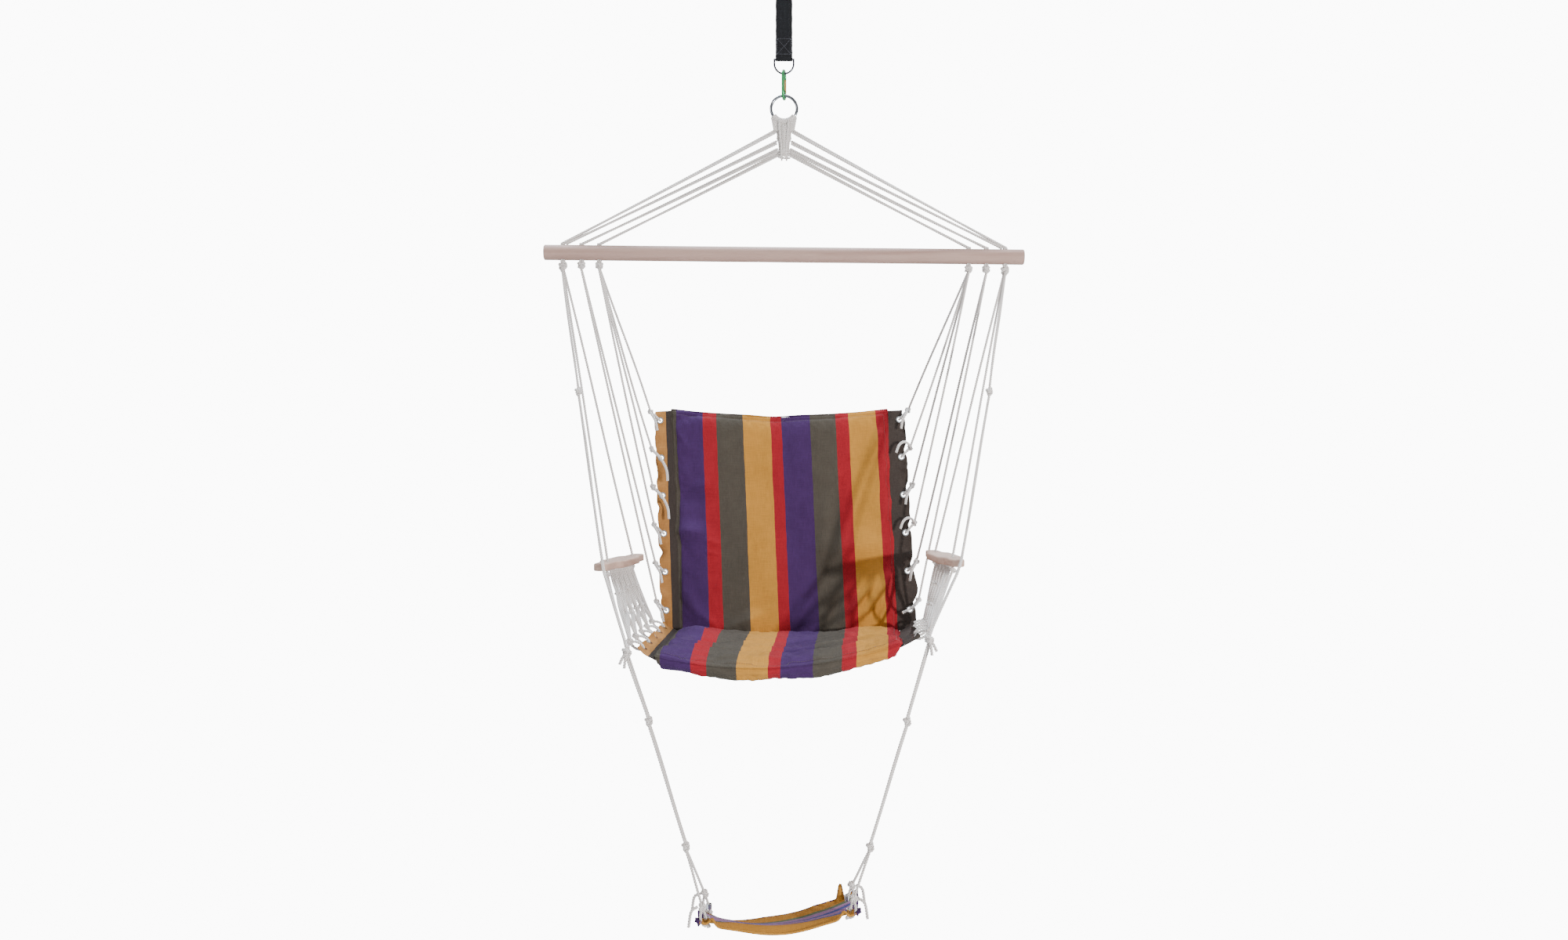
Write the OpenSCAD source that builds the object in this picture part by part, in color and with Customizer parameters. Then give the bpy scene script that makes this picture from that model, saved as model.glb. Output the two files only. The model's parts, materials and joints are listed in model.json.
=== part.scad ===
// Hanging hammock chair: a webbing strap and carabiner, a rope bridle, a wooden spreader bar,
// a padded striped sling laced to ropes, two netted armrests and a hanging footrest.
// Millimetres, +Z up, +X to the sitter's left, -Y to the front.
// The origin is where the hook bears, inside the top of the upper D-ring.

/* [Rope] */
// Diameter of the cotton rope
rope_d = 4.6; // [4:0.1:5]
// Radius of a tied stopper knot under the spreader bar
bar_knot_r = 9.5; // [8:0.5:10]

/* [Hanger] */
// Width of the strap webbing
strap_w = 35; // [28:1:35]
// Distance between the bars of the two D-rings
strap_len = 196; // [160:1:300]
// Overall height of the carabiner
carabiner_h = 64; // [60:1:80]
// How far the carabiner is turned about the vertical
carabiner_yaw = 10; // [0:1:12]
// Outside diameter of the round ring that holds the bridle
ring_d = 60; // [56:1:66]

/* [Spreader bar] */
// Length of the spreader bar
bar_len = 1000; // [980:10:1100]
// Diameter of the spreader bar
bar_d = 32; // [28:1:35]
// Drop from the hook point to the middle of the bar
bar_drop = 631; // [620:1:660]
// How far the bar's right-hand end hangs below its left-hand end
bar_fall = 10; // [0:1:12]

/* [Sling] */
// Width of the padded back, and of the seat where it meets the back
pad_w = 480; // [440:10:480]
// Width of the seat at its front edge
front_w = 460; // [440:5:480]
// How far the seat's front edge and the footrest hang to one side
front_shift = -11; // [-16:1:16]
// How far each front corner of the seat stands above or below their middle
front_skew = 12; // [0:1:16]
// Height of the padded back
back_h = 480; // [460:5:500]
// How far the foot of the back hangs further to one side than its top
back_skew = 21; // [0:1:24]
// How far the top of the back lies behind its foot
back_lean = 60; // [40:5:80]
// Drop from the hook point to the crease between back and seat
crease_drop = 1423; // [1400:1:1440]
// Distance from the crease to the front edge of the seat
seat_depth = 405; // [380:1:420]
// How far the front edge of the seat hangs down in the middle
seat_sag = 32; // [15:1:40]
// Thickness of the padded back
back_t = 16; // [12:1:20]
// Thickness of the padded seat
seat_t = 26; // [20:1:28]

/* [Armrests] */
// Length of an armrest board
arm_len = 310; // [290:5:330]
// Width of an armrest board at its middle
arm_w = 50; // [40:1:56]
// Thickness of an armrest board
arm_t = 15; // [12:1:18]

/* [Footrest] */
// Length of the footrest from side to side
foot_len = 305; // [300:5:340]
// How far each end of the footrest stands above or below its middle
foot_skew = 9; // [0:1:12]
// Depth of the footrest from front to back
foot_depth = 120; // [110:5:140]

/* [Hidden] */
$fn = 48;
LEFT = -1;
RIGHT = 1;
rope_r = rope_d / 2;
gap = 0.3;

// Hanger: both D-rings are alike, each with its straight bar in a fold of the strap.
d_wire_r = 2;
d_half_w = 20;
d_leg = 9.5;
hook_bar_z = d_wire_r - d_half_w - d_leg;
lower_bar_z = hook_bar_z - strap_len;
lower_arc_z = lower_bar_z - d_leg - d_half_w;
strap_t = 1.6;
fold_r = d_wire_r + gap;
sewn_len = 48;

// Carabiner: a stadium of wire, its plane square to the rings before it is turned.
wire_r = 3;
bend_r = 13;
carabiner_top_z = lower_arc_z + d_wire_r + gap + wire_r;
carabiner_low_z = carabiner_top_z - carabiner_h + 2 * wire_r;
gate_r = 2.9;
pivot_z = carabiner_low_z + bend_r + 5;
gate_top_z = carabiner_top_z - bend_r - 3;
tongue_r = 2.2;
rivet_r = 1;

// Round ring, its hitches and the neck of bundled rope.
ring_r = ring_d / 2 - wire_r;
ring_z = carabiner_low_z + 2 * wire_r + gap - ring_r;
hitch_count = 8;
hitch_step = 13.2;
hitch_r = wire_r + rope_r + 0.05;

// Spreader bar and the strands of the bridle: [height at the neck, half width there, place on the bar].
bar_z = -bar_drop;
bar_r = bar_d / 2;
bar_tilt = asin(bar_fall / bar_len);
hole_x = [461, 422, 385];
hole_r = 6.5;
bundle_r = 6.2;
bridle = [[-47, 20.5, 464], [-70, 17.5, 455], [-86, 15.5, 422], [-95, 15, 385]];
pair_gap = 2.6;
knot_drop = bar_r + bar_knot_r + 0.2;

// Sling.
crease_y = 120;
crease_z = -crease_drop;
panel_t = 1.2;
lean = asin(back_lean / back_h);
skew = asin(back_skew / back_h);
belly = 14;
top_dip = 12;
back_foot = 18;
seat_y = crease_y - back_t / 2;
front_y = seat_y - seat_depth;
seat_rear_z = crease_z - 8;
seat_rise = 11;
rear_sag = 4;
hem_t = 3;
hem_w = 38;
seat_hem_tilt = 27;
grommet_r = 4.6;
grommet_flange_r = 7.3;
grommet_hole_r = 6;
back_grommet_in = 25;
seat_grommet_in = 29;
back_grommets = 6;
seat_grommets = 5;
tie_r = 12;
tie_knot_r = 6.5;
tie_tilt = 45;
tie_out = 2 * tie_r + tie_knot_r - 1.5;

// Armrests, toed in towards the back, the left one more than the right. arm_skew is how far the right one
// stands above their middle height.
arm_reach = 331;
arm_shift = -4;
arm_y = -54;
arm_z = -1264;
arm_skew = 4;
arm_toe_left = 8;
arm_toe_right = 3.5;
arm_hole_at = 95;
arm_hole_r = 5;
arm_end_w = 28;
arm_knot_r = 7;

// Front corner of each side, and the link and turn of the rope that rises from it to the bar.
corner_out = 282;
corner_y = -285;
corner_z = -1406;
corner_knot_r = 9;
link = [413, -98, -922];
link_knot_r = 7.5;
turn_from_arm = [10, -166, -6.5];

// Net: cords in pairs, from the armrest board to the lacing.
net_cords = 10;
net_top = 72;
net_pair = 3.3;

// Footrest.
foot_y = corner_y;
foot_mid_z = -1549;
foot_low_z = -1783;
foot_z = -1933;
foot_knot_r = 8;
foot_t = 6;
foot_sag = 38;
foot_trough = 16;
foot_grommet_u = 0.86;
foot_grommet_v = 0.62;

// ---- Helpers ----

function unit(v) = v / norm(v);
function toward(a, b, d) = a + unit(b - a) * d;
function lerp(a, b, t) = a + (b - a) * t;
function sided(p, side) = [side * p[0], p[1], p[2]];

// A frame is an origin and three directions square to each other: out, along and up.
function in_frame(f, p) = f[0] + p[0] * f[1] + p[1] * f[2] + p[2] * f[3];

module at_frame(f) {
    multmatrix([[f[1][0], f[2][0], f[3][0], f[0][0]],
                [f[1][1], f[2][1], f[3][1], f[0][1]],
                [f[1][2], f[2][2], f[3][2], f[0][2]],
                [0, 0, 0, 1]]) children();
}

// A straight piece of rope or wire.
module strand(a, b, r = rope_r) {
    d = b - a;
    translate(a)
        rotate([0, acos(d[2] / norm(d)), atan2(d[1], d[0])])
            cylinder(h = norm(d), r = r);
}

// A rope that runs straight between points and turns at each of them.
module rope_run(points) {
    for (i = [0 : len(points) - 2]) strand(points[i], points[i + 1]);
    for (i = [1 : 1 : len(points) - 2]) translate(points[i]) sphere(r = rope_r + 0.4);
}

module ball(p, r) {
    translate(p) sphere(r = r);
}

// A round link of rope lying in the X-Y plane.
module rope_link(r) {
    rotate_extrude() translate([r, 0]) circle(r = rope_r);
}

// A closed solid between two grids of points, each grid[row][column].
module slab(top, under) {
    rows = len(top);
    cols = len(top[0]);
    n = rows * cols;
    pts = concat([for (row = top) for (p = row) p], [for (row = under) for (p = row) p]);
    function at(i, j, s) = s * n + i * cols + j;
    faces = concat(
        [for (i = [0 : rows - 2]) for (j = [0 : cols - 2])
            for (f = [[at(i, j, 0), at(i, j + 1, 0), at(i + 1, j + 1, 0)],
                      [at(i, j, 0), at(i + 1, j + 1, 0), at(i + 1, j, 0)]]) f],
        [for (i = [0 : rows - 2]) for (j = [0 : cols - 2])
            for (f = [[at(i, j, 1), at(i + 1, j + 1, 1), at(i, j + 1, 1)],
                      [at(i, j, 1), at(i + 1, j, 1), at(i + 1, j + 1, 1)]]) f],
        [for (i = [0 : rows - 2])
            for (f = [[at(i, 0, 0), at(i + 1, 0, 0), at(i + 1, 0, 1)],
                      [at(i, 0, 0), at(i + 1, 0, 1), at(i, 0, 1)],
                      [at(i, cols - 1, 0), at(i + 1, cols - 1, 1), at(i + 1, cols - 1, 0)],
                      [at(i, cols - 1, 0), at(i, cols - 1, 1), at(i + 1, cols - 1, 1)]]) f],
        [for (j = [0 : cols - 2])
            for (f = [[at(0, j, 0), at(0, j + 1, 1), at(0, j + 1, 0)],
                      [at(0, j, 0), at(0, j, 1), at(0, j + 1, 1)],
                      [at(rows - 1, j, 0), at(rows - 1, j + 1, 0), at(rows - 1, j + 1, 1)],
                      [at(rows - 1, j, 0), at(rows - 1, j + 1, 1), at(rows - 1, j, 1)]]) f]);
    polyhedron(points = pts, faces = faces);
}

// An eyelet for a hem: a barrel with a flange on each face, its axis along Z.
module grommet() {
    half = hem_t / 2 + 0.1;
    rotate_extrude()
        polygon([[grommet_r, -half - 0.8], [grommet_flange_r, -half - 0.8], [grommet_flange_r, -half],
                 [grommet_hole_r - 0.2, -half], [grommet_hole_r - 0.2, half], [grommet_flange_r, half],
                 [grommet_flange_r, half + 0.8], [grommet_r, half + 0.8]]);
}

// ---- Hanger ----

// A D-ring of round wire: its bar along X at the origin and its arc below.
module d_ring() {
    translate([-d_half_w, 0, 0]) rotate([0, 90, 0]) cylinder(h = 2 * d_half_w, r = d_wire_r);
    for (side = [LEFT, RIGHT]) {
        ball([side * d_half_w, 0, 0], d_wire_r + 0.2);
        translate([side * d_half_w, 0, -d_leg]) cylinder(h = d_leg, r = d_wire_r);
    }
    translate([0, 0, -d_leg])
        rotate([90, 0, 0])
            rotate([0, 0, 180])
                rotate_extrude(angle = 180) translate([d_half_w, 0]) circle(r = d_wire_r);
}

module hook_d_ring() {
    color("silver") translate([0, 0, hook_bar_z]) mirror([0, 0, 1]) d_ring();
}

module lower_d_ring() {
    color("silver") translate([0, 0, lower_bar_z]) d_ring();
}

// The webbing seen edge-on: a fold round each bar, sewn back on itself, and one layer between.
module strap_profile() {
    outer = fold_r + strap_t;
    for (end = [[0, -1], [-strap_len, 1]]) {
        translate([0, end[0]]) difference() {
            circle(r = outer);
            circle(r = fold_r);
        }
        translate([-outer + 0.2, end[1] > 0 ? end[0] + 3.4 : end[0] - sewn_len])
            square([2 * outer - 2.4, sewn_len - 3.4]);
    }
    translate([-outer + 0.2, -strap_len + sewn_len - 1]) square([strap_t, strap_len - 2 * sewn_len + 2]);
}

module strap_webbing() {
    color("#26262b")
        translate([-strap_w / 2, 0, hook_bar_z])
            rotate([90, 0, 90]) linear_extrude(height = strap_w) strap_profile();
}

module turned() {
    rotate([0, 0, -carabiner_yaw]) children();
}

// Half of the stadium's round end, in the Y-Z plane and bulging down.
module wire_bend() {
    rotate([0, 0, 90])
        rotate([90, 0, 0])
            rotate([0, 0, 180])
                rotate_extrude(angle = 180) translate([bend_r, 0]) circle(r = wire_r);
}

// The wire body with its spine at the front; the gate closes the gap at the back.
module carabiner_body() {
    boss_top_z = pivot_z - 3.9;
    color("#3fa35f") turned() {
        translate([0, 0, carabiner_low_z + bend_r]) wire_bend();
        translate([0, 0, carabiner_top_z - bend_r]) mirror([0, 0, 1]) wire_bend();
        strand([0, -bend_r, carabiner_low_z + bend_r], [0, -bend_r, carabiner_top_z - bend_r], wire_r);
        strand([0, bend_r, carabiner_low_z + bend_r], [0, bend_r, boss_top_z], wire_r);
        strand([0, bend_r, gate_top_z + 0.4], [0, bend_r, carabiner_top_z - bend_r], wire_r);
        difference() {
            union() {
                translate([-1, bend_r - tongue_r, boss_top_z - 1])
                    cube([2, 2 * tongue_r, pivot_z - boss_top_z + 1]);
                translate([-1, bend_r, pivot_z]) rotate([0, 90, 0]) cylinder(h = 2, r = tongue_r);
            }
            translate([-2, bend_r, pivot_z]) rotate([0, 90, 0]) cylinder(h = 4, r = rivet_r);
        }
    }
}

module gate_rivet() {
    color("gainsboro") turned()
        translate([-gate_r, bend_r, pivot_z]) rotate([0, 90, 0]) cylinder(h = 2 * gate_r, r = rivet_r);
}

module carabiner_gate() {
    low_z = pivot_z - 2.6;
    bore_low_z = pivot_z + 3;
    color("#c9a063") turned() difference() {
        translate([0, bend_r, low_z]) cylinder(h = gate_top_z - low_z, r = gate_r);
        translate([-1.3, bend_r - 4, low_z - 1]) cube([2.6, 8, bore_low_z - low_z + 1]);
        translate([-4, bend_r, pivot_z]) rotate([0, 90, 0]) cylinder(h = 8, r = rivet_r + 0.05);
        translate([0, bend_r, bore_low_z - 0.5]) cylinder(h = 14, r = 1.3);
    }
}

// The gate's spring, as the tube that its coils fill.
module gate_spring() {
    color("gray") turned() translate([0, bend_r, pivot_z + 3.5]) difference() {
        cylinder(h = 12, r = 1.2);
        translate([0, 0, -1]) cylinder(h = 14, r = 0.8);
    }
}

// ---- Bridle and spreader bar ----

module suspension_ring() {
    color("silver") translate([0, 0, ring_z]) rotate([90, 0, 0])
        rotate_extrude($fn = 96) translate([ring_r, 0]) circle(r = wire_r);
}

// Loops of rope hitched side by side round the foot of the ring.
module ring_hitches() {
    color("#dcd6cf") translate([0, 0, ring_z])
        for (i = [0 : hitch_count - 1])
            rotate([0, (i - (hitch_count - 1) / 2) * hitch_step, 0])
                translate([0, 0, -ring_r]) rotate([0, 90, 0]) rope_link(hitch_r);
}

// The bundle where the hitched ropes are bound together, outlined face-on.
module rope_neck() {
    depth = 18;
    outline = [[-22, -20], [-21, -42], [-18, -50], [-17, -64], [-14, -74], [-14, -100], [-10, -101]];
    color("#d9d2cb") translate([0, depth / 2, ring_z]) rotate([90, 0, 0])
        linear_extrude(height = depth) difference() {
            polygon(concat(outline, [for (i = [len(outline) - 1 : -1 : 0]) [-outline[i][0], outline[i][1]]]));
            circle(r = ring_r + hitch_r + rope_r + gap);
        }
}

// A point of the bar's own frame: its place along the bar, behind it and above its middle.
bar_frame = [[0, 0, bar_z], [cos(bar_tilt), 0, -sin(bar_tilt)], [0, 1, 0], [sin(bar_tilt), 0, cos(bar_tilt)]];

// Pairs of strands from the neck to the top of the bar.
module bridle_strands(side) {
    color("#dcd6cf")
        for (b = bridle)
            for (y = [-pair_gap, pair_gap])
                strand([side * b[1], y, ring_z + b[0]], in_frame(bar_frame, [side * b[2], y, bar_r + 3.4]));
}

module spreader_bar() {
    chamfer = 1.5;
    color("#cdb5a0") at_frame(bar_frame) difference() {
        translate([-bar_len / 2, 0, 0]) rotate([0, 90, 0]) {
            translate([0, 0, chamfer]) cylinder(h = bar_len - 2 * chamfer, r = bar_r);
            cylinder(h = chamfer, r1 = bar_r - chamfer, r2 = bar_r);
            translate([0, 0, bar_len - chamfer]) cylinder(h = chamfer, r1 = bar_r, r2 = bar_r - chamfer);
        }
        for (side = [LEFT, RIGHT])
            for (x = hole_x)
                translate([side * x, 0, -bar_r - 1]) cylinder(h = bar_d + 2, r = hole_r);
    }
}

// Rope bundles through the bar, each stopped by a knot under it.
module bar_knots(side) {
    color("#dcd6cf") at_frame(bar_frame)
        for (x = hole_x) {
            translate([side * x, 0, -knot_drop]) cylinder(h = knot_drop + bar_r - 0.8, r = bundle_r);
            ball([side * x, 0, -knot_drop], bar_knot_r);
        }
}

// ---- Sling ----

// The middle of the padded back: u runs across from -1 to 1, v up from 0 to 1.
function back_at(u, v) = [
    u * pad_w / 2 + back_skew * (0.5 - v),
    crease_y + v * back_h * sin(lean) + belly * (1 - u * u) * sin(180 * v),
    crease_z - back_foot + v * (back_h * cos(lean) + back_foot) - top_dip * (1 - u * u) * v];

// The middle of the padded seat: v runs forward from 0 to 1.
function seat_at(u, v) = [
    u * lerp(pad_w, front_w, v) / 2 + lerp(back_skew / 2, front_shift, v),
    lerp(seat_y, front_y, v),
    seat_rear_z + (seat_rise + front_skew * u) * v - lerp(rear_sag, seat_sag, v) * (1 - u * u)];

across = [-1 : 0.25 : 1];
along = [0 : 0.125 : 1];

// One layer of a pad, between two distances from its middle.
module back_layer(a, b) {
    slab([for (v = along) [for (u = across) back_at(u, v) + [0, b, 0]]],
         [for (v = along) [for (u = across) back_at(u, v) + [0, a, 0]]]);
}

module seat_layer(a, b) {
    slab([for (v = along) [for (u = across) seat_at(u, v) + [0, 0, a]]],
         [for (v = along) [for (u = across) seat_at(u, v) + [0, 0, b]]]);
}

module back_front_panel() {
    color("#4b3a78") back_layer(-back_t / 2, -back_t / 2 + panel_t);
}

module back_wadding() {
    half = back_t / 2 - panel_t - 0.2;
    color("white") back_layer(-half, half);
}

module back_rear_panel() {
    color("#c8954f") back_layer(back_t / 2 - panel_t, back_t / 2);
}

module seat_top_panel() {
    color("#4b3a78") seat_layer(seat_t / 2 - panel_t, seat_t / 2);
}

module seat_wadding() {
    half = seat_t / 2 - panel_t - 0.2;
    color("white") seat_layer(-half, half);
}

module seat_bottom_panel() {
    color("#c8954f") seat_layer(-seat_t / 2, -seat_t / 2 + panel_t);
}

// The back hem's frame, at the foot of its inner edge: out, up along the hem, and forward.
function back_hem_frame(side) = [
    [side * (pad_w / 2 + 0.8) + back_skew / 2, crease_y, crease_z],
    side * [cos(skew), sin(skew) * sin(lean), sin(skew) * cos(lean)],
    [-sin(skew), cos(skew) * sin(lean), cos(skew) * cos(lean)],
    [0, -cos(lean), sin(lean)]];

// The seat hem's frame, at the rear of its inner edge: out, forward along the hem, and up from it.
function seat_hem_frame(side) =
    let (rear = seat_at(side, 0) + [side * 1.2, 0, 0],
         fore = unit(seat_at(side, 1) + [side * 1.2, 0, 0] - rear),
         flat = side * unit([-fore[1], fore[0], 0]),
         rise = -side * cross(flat, fore),
         out = cos(seat_hem_tilt) * flat + sin(seat_hem_tilt) * rise)
    [rear, out, fore, -side * cross(out, fore)];

function back_grommet_up(i) = 38 + i * 84;
function seat_grommet_along(i) = 39 + i * 80;

// A hem lying in its frame, with a hole for each eyelet.
module hem(frame, along, places) {
    at_frame(frame) difference() {
        translate([0, 1, -hem_t / 2]) cube([hem_w, along - 1, hem_t]);
        for (p = places) translate(p - [0, 0, hem_t]) cylinder(h = 2 * hem_t, r = grommet_hole_r);
    }
}

function back_eyes() = [for (i = [0 : back_grommets - 1]) [back_grommet_in, back_grommet_up(i), 0]];
function seat_eyes() = [for (i = [0 : seat_grommets - 1]) [seat_grommet_in, seat_grommet_along(i), 0]];

module back_hem(side, tint) {
    color(tint) hem(back_hem_frame(side), back_h, back_eyes());
}

module seat_hem(side, tint) {
    color(tint) hem(seat_hem_frame(side), seat_depth, seat_eyes());
}

module back_grommet_row(side) {
    color("silver") at_frame(back_hem_frame(side)) for (p = back_eyes()) translate(p) grommet();
}

module seat_grommet_row(side) {
    color("silver") at_frame(seat_hem_frame(side)) for (p = seat_eyes()) translate(p) grommet();
}

// Rope tied through each grommet and round the hem's edge.
module back_tie_row(side) {
    color("#dcd6cf") at_frame(back_hem_frame(side))
        for (p = back_eyes())
            translate(p) rotate([0, 0, tie_tilt]) {
                translate([tie_r, 0, 0]) rotate([90, 0, 0]) rope_link(tie_r);
                ball([tie_out, 0, 0], tie_knot_r);
            }
}

module seat_lacing_row(side) {
    color("#dcd6cf") at_frame(seat_hem_frame(side))
        for (p = seat_eyes()) {
            translate(p + [tie_r, 0, 0]) rotate([90, 0, 0]) rope_link(tie_r);
            ball(p + [tie_out, 0, 0], tie_knot_r);
        }
}

// Middle of a back tie's knot, and of a lacing knot.
function back_tie(side, i) =
    in_frame(back_hem_frame(side), back_eyes()[i] + tie_out * [cos(tie_tilt), sin(tie_tilt), 0]);
function lacing(side, i) =
    in_frame(seat_hem_frame(side), seat_eyes()[i] + [tie_out, 0, 0]);

// Loose ends of the back ties in front of the hem, from the lowest tie up: hanging, slanting or arched over.
tail_short = [[0.5, -8.6, -0.8], [-6, -18, -9], [-13, -20, -22], [-17, -22, -42]];
tail_long = [[0.5, -8.6, -0.8], [-9, -19, -8], [-24, -22, -24], [-35, -26, -46], [-38, -29, -70]];
tail_slant = [[0.5, -8.6, -0.8], [-8, -19, -9], [-22, -23, -19], [-38, -25, -26]];
tail_arched = [[0.5, -8.6, -0.8], [-4, -18, 6], [-15, -21, 12], [-26, -22, 5], [-33, -23, -12]];
tails_left = [tail_short, tail_short, tail_short, tail_long, tail_long, tail_short];
tails_right = [tail_slant, tail_short, tail_arched, tail_short, tail_arched, tail_short];
module back_tail_row(side) {
    color("#dcd6cf")
        for (i = [0 : back_grommets - 1])
            let (path = (side == LEFT ? tails_left : tails_right)[i])
                rope_run([for (d = path) back_tie(side, i) + sided(d, side)]);
}

// ---- Ropes that carry the sling ----

// Where a strand leaves a knot under the bar: strands stand in a row from back to front.
fan_r = 13;
fan_gap = 5.7;
function fan(side, hole, i, n) =
    let (y = ((n - 1) / 2 - i) * fan_gap)
    in_frame(bar_frame, [side * hole_x[hole], y, -knot_drop - sqrt(fan_r * fan_r - y * y)]);

// Rope from a knot under the bar to one of the back ties.
module back_rope(side, hole, i, n, tie) {
    a = fan(side, hole, i, n);
    strand(a, toward(back_tie(side, tie), a, tie_knot_r + gap));
}

module back_rope_set(side) {
    color("#dcd6cf") {
        for (i = [0 : 3]) back_rope(side, 2, i, 4, back_grommets - 1 - i);
        for (i = [0 : 1]) back_rope(side, 1, i, 2, 1 - i);
    }
}

function arm_mid(side) = [side * arm_reach + arm_shift, arm_y, arm_z + side * arm_skew];
function arm_toe(side) = side == LEFT ? arm_toe_left : arm_toe_right;
function arm_point(side, t, z) =
    arm_mid(side) + [-side * t * sin(arm_toe(side)), t * cos(arm_toe(side)), z];
function corner(side) = [side * corner_out + front_shift, corner_y, corner_z + side * front_skew];

// Rope down through a hole of the armrest to the knot under it, and from that knot to the sling.
module arm_rope(side, hole_at, i, foot, foot_r) {
    stop_z = -arm_t / 2 - 3;
    knot = arm_point(side, hole_at, stop_z - arm_knot_r + 1);
    rope_run([fan(side, 0, i, 4), arm_point(side, hole_at, arm_t / 2 + 5), arm_point(side, hole_at, stop_z)]);
    difference() {
        ball(knot, arm_knot_r);
        translate(arm_point(side, hole_at, stop_z - 1)) cylinder(h = 20, r = arm_knot_r);
    }
    strand(toward(knot, foot, arm_knot_r + gap), toward(foot, knot, foot_r + gap));
}

module arm_rope_set(side) {
    color("#dcd6cf") {
        arm_rope(side, arm_hole_at, 0, lacing(side, 0) + [0, tie_knot_r + 4, 0], 0);
        arm_rope(side, -arm_hole_at, 1, corner(side), corner_knot_r);
    }
}

// Doubled rope from the bar to the front corner, by way of its link and round the armrest's nose.
module riser_rope_set(side) {
    mid = sided(link, side);
    turn = arm_mid(side) + sided(turn_from_arm, side);
    color("#dcd6cf")
        for (i = [2, 3]) {
            y = [0, (2.5 - i) * 2 * 2.9, 0];
            strand(fan(side, 0, i, 4), mid + y + [0, 0, link_knot_r + gap]);
            rope_run([mid + y - [0, 0, link_knot_r + gap], turn + y,
                corner(side) + y + [0, 0, corner_knot_r + gap]]);
        }
}

module riser_knot_set(side) {
    color("#dcd6cf") {
        ball(sided(link, side), link_knot_r);
        ball(corner(side), corner_knot_r);
    }
}

// One cord of the net: it meets one neighbour a third of the way down and the other at two thirds.
function net_cord(side, j) =
    let (top = function(k) arm_point(side, lerp(net_top, -net_top, k / (net_cords - 1)), -arm_t / 2 - 4.5),
         low = function(k) lerp(lacing(side, 0), lacing(side, seat_grommets - 1), k / (net_cords - 1)),
         mate = j % 2 == 0 ? j + 0.5 : j - 0.5,
         other = j == 0 || j == net_cords - 1 ? j : j % 2 == 0 ? j - 0.5 : j + 0.5,
         nudge = function(k) [0, k > j ? net_pair : k < j ? -net_pair : 0, 0],
         foot = lacing(side, floor(j / 2)) + nudge(mate) + [0, 0, tie_knot_r + 2])
    [top(j),
     lerp(top(mate), low(mate), 1 / 3) + nudge(mate),
     lerp(top(other), low(other), 2 / 3) + nudge(other),
     foot];

module net(side) {
    color("#d8d1ca")
        for (j = [0 : net_cords - 1])
            rope_run(net_cord(side, j));
}

// ---- Armrests ----

module armrest(side) {
    half = arm_len / 2 - arm_end_w / 2;
    w = arm_w / 2;
    e = arm_end_w / 2;
    color("#c6a993") translate(arm_mid(side)) rotate([0, 0, side * arm_toe(side)]) difference() {
        translate([0, 0, -arm_t / 2]) linear_extrude(height = arm_t) {
            polygon([[-e, -half], [e, -half], [e, -82], [w, -66], [w, 66], [e, 82],
                     [e, half], [-e, half], [-e, 82], [-w, 66], [-w, -66], [-e, -82]]);
            for (y = [-half, half]) translate([0, y]) circle(r = e);
        }
        for (y = [-arm_hole_at, arm_hole_at])
            translate([0, y, -arm_t]) cylinder(h = 2 * arm_t, r = arm_hole_r);
    }
}

// ---- Footrest ----

// Points on one side, by name: the link half-way down and the knot above the footrest.
function foot_link(side) = [side * 241 + front_shift, foot_y, foot_mid_z];
function foot_knot(side) = [side * 172 + front_shift, foot_y, foot_low_z];

// The middle of the cloth: u runs across and v from front to back, each from -1 to 1.
function foot_at(u, v) = [
    u * foot_len / 2 + front_shift,
    foot_y + v * foot_depth / 2,
    foot_z + foot_sag * u * u + foot_trough * v * v + foot_skew * u];

function foot_tie(side, v) =
    foot_at(side * foot_grommet_u, v * foot_grommet_v) + [side * 8, 0, 24];

module footrest_rope_set(side) {
    top = corner(side);
    mid = foot_link(side);
    low = foot_knot(side);
    color("#dcd6cf")
        for (y = [[0, -2.9, 0], [0, 2.9, 0]]) {
            strand(top + y - [0, 0, corner_knot_r + 2], mid + y + [0, 0, foot_knot_r + gap]);
            strand(mid + y - [0, 0, foot_knot_r + gap], low + y + [0, 0, foot_knot_r + gap]);
        }
}

module footrest_knot_set(side) {
    color("#dcd6cf") {
        ball(foot_link(side), foot_knot_r);
        ball(foot_knot(side), foot_knot_r);
    }
}

module footrest_panel() {
    rows = [-1 : 0.25 : 1];
    color("#c8954f") difference() {
        slab([for (v = rows) [for (u = rows) foot_at(u, v) - [0, 0, foot_t / 2]]],
             [for (v = rows) [for (u = rows) foot_at(u, v) + [0, 0, foot_t / 2]]]);
        for (side = [LEFT, RIGHT])
            for (v = [-1, 1])
                translate(foot_at(side * foot_grommet_u, v * foot_grommet_v))
                    cylinder(h = 40, r = grommet_hole_r, center = true);
    }
}

module footrest_grommets() {
    color("silver")
        for (side = [LEFT, RIGHT])
            for (v = [-1, 1])
                translate(foot_at(side * foot_grommet_u, v * foot_grommet_v))
                    difference() {
                        cylinder(h = 10, r = grommet_hole_r - 0.3, center = true);
                        cylinder(h = 12, r = grommet_r, center = true);
                    }
}

// Strands from the knot to the two grommets of one end, each ending in a tied knot.
module footrest_tie_set(side) {
    color("#dcd6cf")
        for (v = [-1, 1]) {
            tie = foot_tie(side, v);
            under = foot_at(side * foot_grommet_u, v * foot_grommet_v) - [side * 3.7, 0, 11.1];
            ball(tie, tie_knot_r);
            strand(foot_knot(side) + [0, v * 3, -foot_knot_r - 2],
                toward(tie, foot_knot(side), tie_knot_r - 2));
            strand(under, tie);
            ball(under, rope_r * 2);
        }
}

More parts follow.
